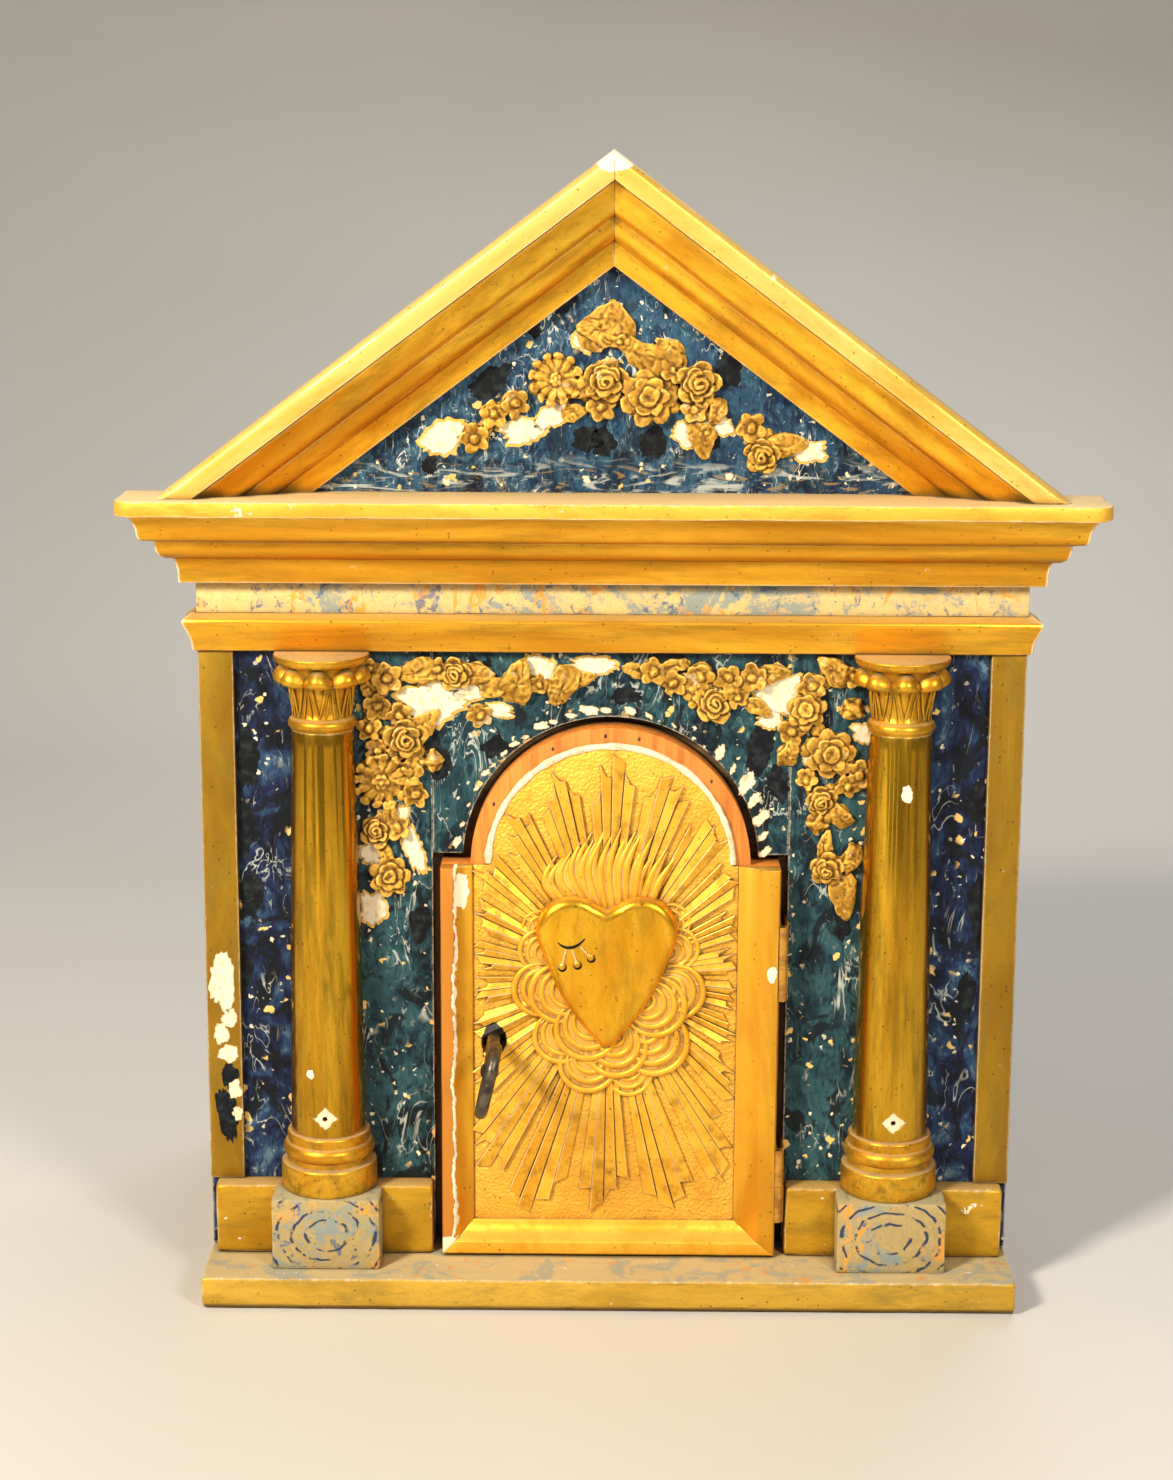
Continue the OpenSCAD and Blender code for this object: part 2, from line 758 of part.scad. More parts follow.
// Forged key: round shank, flat bit pointing down, and an oval bow turned a little from upright
bow_y = -92;
bow_bar_r = 3.7;
bow_half = [14, 20.3];
bow_twist = 13;
module key() {
    tip = 34;
    shank_end = bow_y + bow_half[0];
    color(iron) union() {
        rod_y(-key_x, key_z, shank_r, shank_end, tip);
        rod_y(-key_x, key_z, shank_r + 1.6, shank_end + 2, shank_end + 6);
        block([-key_x - bit_t / 2, bit_front, key_z - bit_reach], [-key_x + bit_t / 2, bit_back, key_z]);
        translate([-key_x, bow_y, key_z]) rotate([0, bow_twist, 0]) rotate([0, 90, 0])
            for (side = [-1, 1]) translate([side * (bow_half[1] - bow_half[0]), 0, 0])
                rotate([0, 0, side > 0 ? -90 : 90])
                    rotate_extrude(angle = 180) translate([bow_half[0], 0]) circle(r = bow_bar_r);
        translate([-key_x, bow_y, key_z]) rotate([0, bow_twist, 0]) for (side = [-1, 1])
            translate([0, side * bow_half[0], -(bow_half[1] - bow_half[0])])
                cylinder(r = bow_bar_r, h = 2 * (bow_half[1] - bow_half[0]));
    }
}

// ---------------------------------------------------------------- nodes

base_board();
cabinet_floor();
cabinet_side_left();
cabinet_side_right();
cabinet_back();
cabinet_top();
panel_stile_left();
panel_stile_right();
arch_head_board();
rebate_stile_left();
rebate_stile_right();
rebate_arch();
side_strip_left();
side_strip_right();
plinth_block_left();
plinth_block_right();
pedestal_left();
pedestal_right();
column_base_left();
column_base_right();
column_shaft_left();
column_shaft_right();
capital_left();
capital_right();
architrave_front();
architrave_returns();
frieze_board();
cornice_moulding_front();
cornice_moulding_returns();
cornice_top_board();
pediment_board();
pediment_braces();
raking_moulding_left();
raking_moulding_right();
raking_cap_left();
raking_cap_right();
pediment_garland();
garland_left();
garland_right();
door_board();
door_field();
door_rail_bottom();
door_stile_left();
door_stile_right();
sacred_heart();
cloud_wreath();
hinge_leaf_frame_upper();
hinge_leaf_frame_lower();
hinge_leaf_door_upper();
hinge_leaf_door_lower();
hinge_pins();
hinge_screws_frame();
hinge_screws_door();
lock_case();
lock_cover();
lock_screws();
lock_curtain();
lock_bolt();
strike_plate();
key();
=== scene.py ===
"""Looks of an old altar tabernacle: worn gilding, marbled boards, carved door and cast garlands."""
import random
from math import atan2, cos, hypot, pi, radians, sin, sqrt

import bmesh
import bpy
from mathutils import Matrix, Vector, noise


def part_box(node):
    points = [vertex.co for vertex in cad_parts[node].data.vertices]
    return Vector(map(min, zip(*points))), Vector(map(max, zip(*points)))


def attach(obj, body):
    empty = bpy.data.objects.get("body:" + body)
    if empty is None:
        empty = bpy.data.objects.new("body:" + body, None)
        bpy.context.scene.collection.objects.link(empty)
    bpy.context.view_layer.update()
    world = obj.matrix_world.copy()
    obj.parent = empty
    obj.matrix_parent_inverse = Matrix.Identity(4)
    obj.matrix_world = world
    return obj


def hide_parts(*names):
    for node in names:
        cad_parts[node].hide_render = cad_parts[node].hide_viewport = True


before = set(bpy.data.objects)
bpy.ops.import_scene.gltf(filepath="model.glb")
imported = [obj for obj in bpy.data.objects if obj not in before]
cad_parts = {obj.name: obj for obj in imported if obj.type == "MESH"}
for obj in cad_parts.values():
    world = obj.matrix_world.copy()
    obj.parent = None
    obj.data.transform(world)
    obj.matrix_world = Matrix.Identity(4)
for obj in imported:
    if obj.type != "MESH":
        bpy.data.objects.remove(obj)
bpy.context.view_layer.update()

# The unevenness of hand work comes from a fixed seed, so that every run gives the same object
noise.seed_set(1)

# Meshes are modelled in millimetres and brought to metres as each piece is finished
MM = 0.001
DOUBLE = 0.002
FRONT_MIDDLE = 0.34

# Faces that ornament stands on, as depths along Y
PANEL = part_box("panel_stile_left")[0].y / MM
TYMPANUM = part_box("pediment_board")[0].y / MM
DOOR_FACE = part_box("door_board")[0].y / MM
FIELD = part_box("door_field")[0].y / MM

# Columns
COLUMN_X = (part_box("column_shaft_right")[0].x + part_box("column_shaft_right")[1].x) / 2 / MM
COLUMN_Y = -6.0
PEDESTAL_MIDDLE = 45.0
PEG_HOLE_Z = 119.0
PLINTH_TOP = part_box("pedestal_left")[1].z / MM
BASE_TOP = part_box("column_base_left")[1].z / MM
SHAFT_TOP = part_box("column_shaft_left")[1].z / MM
ORDER_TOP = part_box("capital_left")[1].z / MM
SHAFT_R_TOP = 19.2

# Door relief: the rays spread from one centre, the clouds ring a point just under it
HEART_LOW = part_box("sacred_heart")[0].z / MM
HEART_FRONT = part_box("sacred_heart")[0].y / MM
LOBE_X = 21.5
LOBE_Z = 238.0
LOBE_R = 23.0
HEART_LEAN = -2
RAY_CENTRE = (-1.0, 208.0)
CLOUD_CENTRE = (-1.0, 206.0)
ARCH_Z = 279.0
ARCH_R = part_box("door_field")[1].z / MM - ARCH_Z
NAIL_RING = 82.5

# Foot and slope of the pediment
TYMPANUM_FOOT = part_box("cornice_top_board")[1].z / MM
RAKE = atan2(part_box("raking_cap_left")[1].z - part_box("cornice_top_board")[1].z,
             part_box("cornice_top_board")[1].x)


# ---------------------------------------------------------------- camera, light and floor

def new_object(name, data):
    """An object in the scene that holds this data."""
    made = bpy.data.objects.new(name, data)
    bpy.context.scene.collection.objects.link(made)
    return made


def make_camera():
    """A long lens a little above the apex, looking slightly down."""
    lens = bpy.data.cameras.new("camera")
    lens.sensor_width = 36
    lens.lens = 70.08
    camera = new_object("camera", lens)
    place = Vector((-1.1, -1742.1, 752.2)) * MM
    pitch, yaw, roll = radians(12.75), radians(0.47), radians(0.245)
    camera.matrix_world = (
        Matrix.Translation(place) @ Matrix.Rotation(yaw, 4, "Z")
        @ Matrix.Rotation(pi / 2 - pitch, 4, "X") @ Matrix.Rotation(roll, 4, "Z"))
    bpy.context.scene.camera = camera


def soft_light(name, azimuth, elevation, distance, size, watts, colour):
    """A square lamp aimed at the middle of the front; azimuth runs from the front to the viewer's right."""
    lamp = bpy.data.lights.new(name, "AREA")
    lamp.size = size
    lamp.energy = watts
    lamp.color = colour
    holder = new_object(name, lamp)
    turn, lift = radians(azimuth), radians(elevation)
    away = Vector((sin(turn) * cos(lift), -cos(turn) * cos(lift), sin(lift)))
    holder.location = Vector((0, 0, FRONT_MIDDLE)) + away * distance
    holder.rotation_euler = away.to_track_quat("Z", "Y").to_euler()


def make_lights():
    soft_light("lamp_left", -40, 31, 2.4, 0.42, 84, (1.0, 0.9, 0.74))
    soft_light("lamp_right", 30, 27, 2.4, 0.5, 32, (1.0, 0.92, 0.8))
    soft_light("lamp_behind", 165, 42, 2.6, 1.2, 26, (0.95, 0.97, 1.0))
    world = bpy.data.worlds.new("studio")
    world.use_nodes = True
    sky = world.node_tree.nodes["Background"]
    sky.inputs["Color"].default_value = (1.0, 0.97, 0.92, 1)
    sky.inputs["Strength"].default_value = 0.2
    bpy.context.scene.world = world
    bpy.context.scene.view_settings.view_transform = "Standard"


def make_floor():
    """A pale floor that sweeps up behind the object."""
    bm = bmesh.new()
    rim = [bm.verts.new((-4, y, z)) for y, z in ((-4, 0), (2.2, 0), (3.4, 1.2), (3.4, 4))]
    edges = [bm.edges.new(pair) for pair in zip(rim, rim[1:])]
    made = bmesh.ops.extrude_edge_only(bm, edges=edges)["geom"]
    bmesh.ops.translate(bm, vec=(8, 0, 0), verts=[v for v in made if isinstance(v, bmesh.types.BMVert)])
    folds = [e for e in bm.edges if e.is_manifold]
    bevel(bm, folds, 0.8, segments=12)
    bmesh.ops.recalc_face_normals(bm, faces=bm.faces)
    mesh = bpy.data.meshes.new("floor")
    bm.to_mesh(mesh)
    bm.free()
    mesh.shade_smooth()
    f = Finish("pale_floor")
    mesh.materials.append(f.surface(
        f.mix((0.62, 0.6, 0.57), (0.56, 0.545, 0.52), f.grain(400, detail=2)), roughness=0.7))
    floor = new_object("floor", mesh)


# ---------------------------------------------------------------- shaders

class Shade:
    """A value coming out of a shader node; Python's operators on it add the maths nodes."""

    def __init__(self, finish, socket):
        self.finish = finish
        self.socket = socket

    def maths(self, operation, *values):
        return self.finish.node("ShaderNodeMath", {"operation": operation}, values)

    def __add__(self, other):
        return self.maths("ADD", self, other)

    def __radd__(self, other):
        return self.maths("ADD", other, self)

    def __sub__(self, other):
        return self.maths("SUBTRACT", self, other)

    def __rsub__(self, other):
        return self.maths("SUBTRACT", other, self)

    def __mul__(self, other):
        return self.maths("MULTIPLY", self, other)

    def __rmul__(self, other):
        return self.maths("MULTIPLY", other, self)

    def __abs__(self):
        return self.maths("ABSOLUTE", self)


class Finish:
    """One material, built node by node. Lengths are in millimetres."""

    def __init__(self, name):
        self.material = bpy.data.materials.new(name)
        self.material.use_nodes = True
        self.tree = self.material.node_tree
        self.tree.nodes.clear()
        self.place = self.node("ShaderNodeTexCoord", out="Object")

    def node(self, kind, settings=None, values=(), out=0):
        """Adds a node: its settings first, then the values or links of its sockets."""
        made = self.tree.nodes.new(kind)
        for name, value in (settings or {}).items():
            if name == "stops":
                self.set_stops(made.color_ramp, value)
            else:
                setattr(made, name, value)
        for key, value in values.items() if isinstance(values, dict) else enumerate(values):
            socket = made.inputs[key]
            if isinstance(value, Shade):
                self.tree.links.new(value.socket, socket)
            elif socket.type == "RGBA":
                socket.default_value = (*value, 1)
            else:
                socket.default_value = value
        return Shade(self, made.outputs[out]) if made.outputs else None

    @staticmethod
    def set_stops(ramp, stops):
        while len(ramp.elements) < len(stops):
            ramp.elements.new(1.0)
        for element, (position, colour) in zip(ramp.elements, stops):
            element.position = position
            element.color = (*colour, 1)

    def stretched(self, x=1.0, y=1.0, z=1.0, turn=0.0):
        """Object coordinates turned about Y, then scaled, so that a pattern runs along the smallest."""
        return self.node("ShaderNodeMapping", {"vector_type": "TEXTURE"}, {
            "Vector": self.place, "Scale": (1 / x, 1 / y, 1 / z), "Rotation": (0, turn, 0)})

    def grain(self, size, detail=3.0, roughness=0.5, twist=0.0, place=None):
        """Noise from 0 to 1 with lumps about this size."""
        return self.node("ShaderNodeTexNoise", {}, {
            "Vector": place or self.place, "Scale": 1 / (size * MM), "Detail": detail,
            "Roughness": roughness, "Distortion": twist})

    def band(self, value, low, high):
        """A soft step, 0 below low and 1 above high."""
        return self.node("ShaderNodeMapRange", {"interpolation_type": "SMOOTHSTEP"}, {
            "Value": value, "From Min": low, "From Max": high})

    def ramp(self, value, *stops):
        return self.node("ShaderNodeValToRGB", {"stops": stops}, [value])

    def mix(self, a, b, share):
        return self.node("ShaderNodeMix", {"data_type": "RGBA"}, {0: share, 6: a, 7: b}, out=2)

    def layers(self, colour, *coats):
        """Lays coats over a colour in turn, each a (colour, share)."""
        for coat, share in coats:
            colour = self.mix(colour, coat, share)
        return colour

    def part(self, vector, name):
        return self.node("ShaderNodeSeparateXYZ", {}, [vector], out=name)

    def axis(self, name):
        """One Object coordinate, in millimetres."""
        return self.part(self.place, name) * (1 / MM)

    def distance(self, across, up):
        """How far a point lies from a middle, from its offsets across and up."""
        return self.node("ShaderNodeVectorMath", {"operation": "LENGTH"}, [
            self.node("ShaderNodeCombineXYZ", {}, [across, up])], out="Value")

    def ragged(self, reach, size):
        """Object coordinates pushed about by noise, to break an outline up."""
        push = self.node("ShaderNodeTexNoise", {}, {
            "Vector": self.place, "Scale": 1 / (size * MM), "Detail": 3.0}, out="Color")
        push = self.node("ShaderNodeVectorMath", {"operation": "SUBTRACT"}, [push, (0.5, 0.5, 0.5)])
        return self.node("ShaderNodeVectorMath", {"operation": "MULTIPLY_ADD"}, [
            push, (reach * MM,) * 3, self.place])

    def spots(self, radius, spacing, share, reach=1.0, front=False):
        """Scattered spots of paint or dirt: 1 inside a spot. On front faces they lie in the plane."""
        place = self.ragged(reach, radius * 1.8)
        kind = {}
        if front:
            place = self.node("ShaderNodeCombineXYZ", {}, [self.part(place, "X"), self.part(place, "Z")])
            kind = {"voronoi_dimensions": "2D"}
        cell = {"Vector": place, "Scale": 1 / (spacing * MM)}
        distance = self.node("ShaderNodeTexVoronoi", kind, cell, out="Distance")
        tint = self.node("ShaderNodeTexVoronoi", kind, cell, out="Color")
        pick = self.node("ShaderNodeSeparateColor", {}, [tint], out=0)
        size = pick * (1.2 * radius / spacing / share)
        return self.band(size - distance, 0.0, 0.25 * radius / spacing) * self.band(
            share - pick, -0.01, 0.01)

    def arris(self, width):
        """0 on a flat, rising towards sharp edges."""
        eased = self.node("ShaderNodeBevel", {"samples": 4}, {"Radius": width * MM})
        flat = self.node("ShaderNodeNewGeometry", out="Normal")
        return 1 - self.node("ShaderNodeVectorMath", {"operation": "DOT_PRODUCT"},
                             [eased, flat], out="Value")

    def hollow(self, reach):
        """0 in the open, rising in corners and crevices."""
        return 1 - self.node("ShaderNodeAmbientOcclusion", {"samples": 4},
                             {"Distance": reach * MM}, out="AO")

    def faces(self, axis):
        """1 where the surface faces along this axis, 0 across it."""
        return self.part(self.node("ShaderNodeNewGeometry", out="Normal"), axis)

    def bare_back(self, colour):
        """Leaves what faces backwards, and the outer sides, as unpainted old wood."""
        grain = self.grain(6, detail=4, roughness=0.6, twist=0.4, place=self.stretched(0.1, 1, 1))
        wood = self.mix((0.26, 0.155, 0.075), (0.11, 0.06, 0.028), self.band(grain, 0.36, 0.66))
        sides = self.band(abs(self.faces("X")), 0.8, 0.9) * self.band(abs(self.axis("X")), 248, 252)
        return self.mix(colour, wood, self.highest(sides, self.band(self.faces("Y"), 0.3, 0.6)))

    def oval(self, x, z, half_x, half_z, ragged=1.0):
        """1 inside a ragged oval at this place on the front."""
        across = (self.axis("X") - x) * (1 / half_x)
        up = (self.axis("Z") - z) * (1 / half_z)
        far = self.distance(across, up)
        return self.band(far + ragged * (self.grain(min(half_x, half_z), detail=4) - 0.5), 1.05, 0.97)

    def highest(self, a, b):
        return self.node("ShaderNodeMath", {"operation": "MAXIMUM"}, [a, b])

    def bump(self, height, depth, under=None):
        """A normal from a 0 to 1 height that stands this many millimetres deep."""
        values = {"Height": height, "Distance": depth * MM, "Strength": 1.0}
        if under:
            values["Normal"] = under
        return self.node("ShaderNodeBump", {}, values)

    def surface(self, colour, roughness, metallic=0.0, normal=None, gloss=0.5):
        values = {"Base Color": colour, "Roughness": roughness, "Metallic": metallic,
                  "Specular IOR Level": gloss}
        if normal:
            values["Normal"] = normal
        shader = self.node("ShaderNodeBsdfPrincipled", {}, values)
        self.node("ShaderNodeOutputMaterial", {}, {"Surface": shader})
        return self.material


LEAF = (0.84, 0.44, 0.032)
DEEP_LEAF = (0.62, 0.27, 0.012)
OLIVE = (0.23, 0.145, 0.018)
# Pale gold for the painted highlight along the arrises
ARRIS_HIGHLIGHT = (0.95, 0.66, 0.2)
GESSO = (0.86, 0.76, 0.56)
# Dark brown for real dirt specks and stains, and also for the painted shade in corners and hollows
DIRT_AND_SHADE = (0.075, 0.042, 0.012)


def gilding(name, leaf=LEAF, deep=DEEP_LEAF, worn=OLIVE, wear=0.6, chips=0.5, roughness=0.3,
            metallic=0.8, run=(1, 1, 1), corner_shade=0.8, edge=2.5, stipple=0.0, relief=0.12, dusty=0.7,
            top=None, bare_side=None, marks=(), peg=None, veined=False, back=False,
            keyhole_shade=None):
    """Cloudy leaf rubbed in places, gesso in chips, painted highlight on arrises, painted shade in corners.
    """
    f = Finish(name)
    along = f.stretched(*run)
    cloud = f.grain(30, detail=6, roughness=0.6, twist=0.7, place=along)
    rubbed = f.band(f.grain(12, detail=7, roughness=0.7, place=along), 0.46, 0.68)
    fine = f.grain(1.4, detail=4, roughness=0.6, place=along)
    colour = f.layers(leaf, (deep, f.band(cloud, 0.38, 0.64)), (worn, rubbed * wear),
                      (worn, f.band(fine, 0.52, 0.75) * wear * 0.6),
                      (DIRT_AND_SHADE, f.spots(0.8, 3.2, 0.3) * (0.35 + 0.4 * wear)))
    edges = f.arris(edge)
    broken = f.grain(5, detail=6, roughness=0.65)
    # Paler gold along the arrises is a painted highlight
    arris_highlight = f.band(edges + 0.2 * broken, 0.16, 0.3)
    colour = f.mix(colour, ARRIS_HIGHLIGHT, arris_highlight * 0.55)
    up = f.band(f.faces("Z"), 0.55, 0.95)
    top = top or (0.5, 0.36, 0.16)
    if veined:
        clouds = f.grain(24, detail=5, roughness=0.66, twist=1)
        veins = f.grain(13, detail=5, roughness=0.66)
        top = f.layers(top, ((0.25, 0.3, 0.28), f.band(clouds, 0.5, 0.6) * 0.85),
                       ((0.6, 0.24, 0.06), f.band(veins, 0.61, 0.65) * 0.7))
    colour = f.mix(colour, top, up * (0.6 + 0.4 * broken) * dusty)
    chip = f.band(edges * 1.5 + broken, 0.83 - 0.2 * chips, 0.88 - 0.2 * chips) * f.band(edges, 0.02, 0.06)
    lost = f.band(f.grain(17, detail=7, roughness=0.68), 0.7 - 0.06 * chips, 0.715 - 0.06 * chips)
    if bare_side:
        line = f.axis("X") * bare_side[1] - bare_side[0] + 12 * (f.grain(26, detail=5, roughness=0.6) - 0.5)
        colour = f.mix(colour, (0.62, 0.24, 0.035), f.band(line, 0.0, 0.3))
        chip = f.highest(chip, f.band(abs(line - 0.6) - 4 * (broken - 0.36), 0.6, 0.2))
    chip = f.highest(chip, lost * min(1, chips * 1.4))
    for mark in marks:
        chip = f.highest(chip, f.oval(*mark))
    if peg:
        far = abs(abs(f.axis("X")) - peg[0]) + abs(f.axis("Z") - peg[1]) + 7 * (broken - 0.5)
        chip = f.highest(chip, f.band(far, 8, 6.5) * 0.8 * f.band(f.axis("Y"), -20, -22))
    colour = f.mix(colour, GESSO, chip)
    # Corners and crevices found by ambient occlusion, broken by noise, are darkened: painted shade, which
    # also roughens and dulls the leaf there
    corner_shade_mask = f.band(f.hollow(7) + 0.25 * broken, 0.34, 0.8)
    colour = f.mix(colour, DIRT_AND_SHADE, corner_shade_mask * corner_shade)
    tone = roughness + rubbed * 0.2 + corner_shade_mask * 0.2 + chip * 0.3 + up * 0.3 * dusty + (fine - 0.5) * 0.1
    bumps = f.bump(f.grain(11, detail=4) + 0.1 * fine, relief)
    if stipple:
        beads = f.node("ShaderNodeTexVoronoi", {"feature": "SMOOTH_F1"}, {
            "Vector": f.ragged(0.8, 3), "Scale": 1 / (stipple * MM)}, out="Distance")
        bumps = f.bump(f.band(beads, 0.1, 0.8), 0.42, bumps)
    bumps = f.bump(1 - chip, 0.25, bumps)
    # A black oval at the keyhole: painted shade of the opening through the rays and ground, with the worn
    # dark ground round it; no leaf shines there
    if keyhole_shade:
        black = f.oval(*keyhole_shade, ragged=0.5)
        colour = f.mix(colour, (0.008, 0.006, 0.004), black)
        chip = f.highest(chip, black)
    if back:
        behind = f.band(f.faces("Y"), 0.3, 0.6)
        colour = f.mix(colour, (0.2, 0.12, 0.055), behind)
        chip = f.highest(chip, behind)
    shine = metallic * (1 - chip) * (1 - 0.6 * corner_shade_mask) * (1 - 0.8 * dusty * up)
    return f.surface(colour, tone, shine, bumps, gloss=0.22)


def cast_gilding():
    """Dusty dull gold over cast ornament, with painted shade in its cracks and hollows and a painted
    highlight on its high places.
    """
    f = Finish("carved_gold")
    high = f.node("ShaderNodeNewGeometry", out="Pointiness")
    broken = f.grain(3.5, detail=6, roughness=0.7)
    # Pale gold on convex places is a painted highlight; the dark in concave places and in ambient-occlusion
    # hollows is painted shade
    colour = f.layers(
        (0.66, 0.37, 0.045), ((0.42, 0.21, 0.02), f.band(f.grain(10, detail=5), 0.36, 0.6)),
        ((0.88, 0.58, 0.14), f.band(high + 0.05 * broken, 0.53, 0.58) * 0.75),
        ((0.1, 0.045, 0.01), f.band(0.5 - high + 0.02 * broken, 0.0, 0.035) * 0.85),
        ((0.03, 0.018, 0.006), f.band(f.hollow(4.5) + 0.2 * broken, 0.35, 0.8)),
        (DIRT_AND_SHADE, f.spots(0.5, 2.4, 0.3) * 0.5),
        ((0.75, 0.6, 0.34), f.band(f.grain(14, detail=6, roughness=0.7), 0.6, 0.66) * 0.6))
    relief = f.bump(f.grain(2.0, detail=6, roughness=0.65), 0.38)
    return f.surface(colour, 0.42 + 0.22 * broken, 0.4, relief, gloss=0.3)


def marbled_blue(name, light, middle, deep, pale, streak=0.6, black=0.5, size=26, spatter=1.0,
                 bays=False, pale_foot=None):
    """Brushed blue distemper with dark pools, pale strokes and spattered gold and cream."""
    f = Finish(name)
    wide = f.grain(size, detail=5, roughness=0.62, twist=1.3, place=f.stretched(1.0, 1.0, 0.7))
    brush = f.grain(size * 0.3, detail=5, roughness=0.62, twist=2.0, place=f.stretched(1.1, 1, 0.55))
    tint = f.grain(size * 1.9, detail=3)
    colour = f.ramp(wide + 0.25 * (brush - 0.5), (0.36, deep), (0.46, middle), (0.56, light),
                    (0.68, middle))
    colour = f.layers(colour, (middle, f.band(tint, 0.5, 0.62) * 0.5),
                      (pale, f.band(brush, 0.55, 0.72) * f.band(tint, 0.62, 0.42) * 0.7),
                      (deep, f.band(brush, 0.47, 0.36) * 0.7))
    if bays:
        outside = f.band(abs(f.axis("X")), 184, 192)
        indigo = f.ramp(wide + 0.3 * (brush - 0.5), (0.4, (0.003, 0.003, 0.008)),
                        (0.5, (0.008, 0.012, 0.055)), (0.6, (0.018, 0.05, 0.12)),
                        (0.7, (0.1, 0.18, 0.24)))
        colour = f.mix(colour, indigo, outside * 0.92)
    pool = f.grain(size * 0.95, detail=3, roughness=0.6, twist=0.9, place=f.stretched(1.1, 1, 0.75))
    colour = f.mix(colour, (0.005, 0.007, 0.01), f.band(pool, 0.54, 0.6) * black)
    line = abs(f.grain(size * 1.0, detail=3, twist=2.0, place=f.stretched(1.25, 1, 0.5)) - 0.5)
    stroke = f.band(line, 0.02, 0.004) * f.band(f.grain(size * 1.4, detail=3), 0.5, 0.62)
    dab = f.band(f.grain(size * 0.2, detail=4, twist=1.0, place=f.stretched(1.2, 1, 0.5)), 0.66, 0.72)
    colour = f.mix(colour, (0.6, 0.64, 0.58), (stroke + dab * 0.6) * streak)
    if pale_foot:
        low = f.band(f.axis("Z"), pale_foot + 26, pale_foot + 6)
        swept = f.grain(size * 0.5, detail=5, roughness=0.62, twist=1.5, place=f.stretched(0.3, 1, 1.2))
        colour = f.layers(colour, ((0.62, 0.66, 0.6), low * f.band(swept, 0.52, 0.64) * 0.6),
                          ((0.7, 0.42, 0.08), low * f.band(swept, 0.42, 0.38) * 0.3))
    thrown = f.band(f.grain(30, detail=2), 0.44, 0.52) * spatter
    edges = f.arris(2)
    broken = f.grain(5, detail=6, roughness=0.7)
    chip = f.band(edges * 0.8 + broken, 0.57, 0.61) * f.band(edges, 0.015, 0.05)
    # The darkening of hollows laid in here is painted shade
    colour = f.bare_back(f.layers(
        colour, ((0.78, 0.52, 0.15), f.spots(2.6, 15, 0.6, reach=9, front=True) * thrown),
        ((0.76, 0.7, 0.48), f.spots(1.3, 7, 0.5, reach=5, front=True) * thrown),
        (GESSO, chip * 0.9), (DIRT_AND_SHADE, f.band(f.hollow(8), 0.45, 1.0) * 0.6)))
    relief = f.bump(brush + 0.6 * stroke, 0.4)
    relief = f.bump(f.grain(2.5, detail=5), 0.12, relief)
    return f.surface(colour, 0.36 + 0.25 * brush + 0.3 * chip, 0.0, relief, gloss=0.18)


def ring_of_dashes(f, x_middle, z_middle):
    """Broken rings of short strokes round a point on each side of the front."""
    across = abs(f.axis("X")) - x_middle
    up = (f.axis("Z") - z_middle) * 1.3
    far = f.distance(across, up) + 9 * (f.grain(16, detail=3) - 0.5)
    wave = f.node("ShaderNodeMath", {"operation": "PINGPONG"}, [far, 4.5])
    return f.band(wave, 3.2, 3.9) * f.band(f.grain(6, detail=4), 0.44, 0.52) * f.band(far, 6, 8)


def marbled_cream(name, clouds, ground, dashes=0.0, size=26, blue=0.6):
    """Cream ground with blue-grey clouds and ragged orange veins."""
    f = Finish(name)
    wide = f.grain(size, detail=5, roughness=0.66, twist=0.9)
    brush = f.grain(5, detail=5, roughness=0.62, twist=1.6)
    colour = f.mix(ground, tuple(1.2 * c for c in ground), f.band(brush, 0.35, 0.65))
    cloud = f.band(wide + 0.4 * (brush - 0.5), 0.58 - 0.06 * clouds, 0.68 - 0.06 * clouds)
    deep = f.band(f.grain(13, detail=5, roughness=0.65, twist=1.0) + 0.2 * (brush - 0.5), blue, blue + 0.06)
    vein = f.band(abs(f.grain(30, detail=4, twist=0.9, place=f.stretched(1.6, 1, 0.8)) - 0.5), 0.03, 0.012)
    vein = vein * f.band(f.grain(34, detail=2), 0.5, 0.58)
    colour = f.layers(colour, ((0.2, 0.26, 0.27), cloud * 0.85), ((0.06, 0.1, 0.2), deep * 0.75),
                      ((0.7, 0.3, 0.035), vein * 0.85))
    if dashes:
        colour = f.mix(colour, (0.03, 0.045, 0.09), ring_of_dashes(f, COLUMN_X, PEDESTAL_MIDDLE) * dashes)
    edges = f.arris(2.2)
    worn = f.band(edges + 0.35 * brush, 0.24, 0.34)
    up = f.band(f.faces("Z"), 0.55, 0.95)
    # The darkening of hollows is painted shade; the small specks are dirt
    colour = f.layers(colour, ((0.55, 0.42, 0.2), worn * 0.7), ((0.38, 0.36, 0.22), up * 0.7),
                      (DIRT_AND_SHADE, f.band(f.hollow(6), 0.4, 1.0) * 0.7), (DIRT_AND_SHADE, f.spots(0.7, 3, 0.3) * 0.6))
    return f.surface(colour, 0.5 + 0.2 * brush, 0.0, f.bump(brush, 0.25), gloss=0.2)


def bare_gesso():
    """Broken chalky gesso left where an ornament came away."""
    f = Finish("bare_gesso")
    broken = f.grain(5, detail=7, roughness=0.7)
    colour = f.layers((0.8, 0.71, 0.52), ((0.7, 0.52, 0.27), f.band(broken, 0.46, 0.7)),
                      ((0.6, 0.33, 0.13), f.band(f.grain(9, detail=3), 0.6, 0.72) * 0.5),
                      ((0.5, 0.3, 0.1), f.band(f.arris(1.5) + 0.4 * broken, 0.26, 0.36) * 0.8),
                      (DIRT_AND_SHADE, f.spots(0.6, 2.6, 0.3) * 0.6))
    return f.surface(colour, 0.85, 0.0, f.bump(broken + 0.4 * f.grain(1.2, detail=4), 0.6))


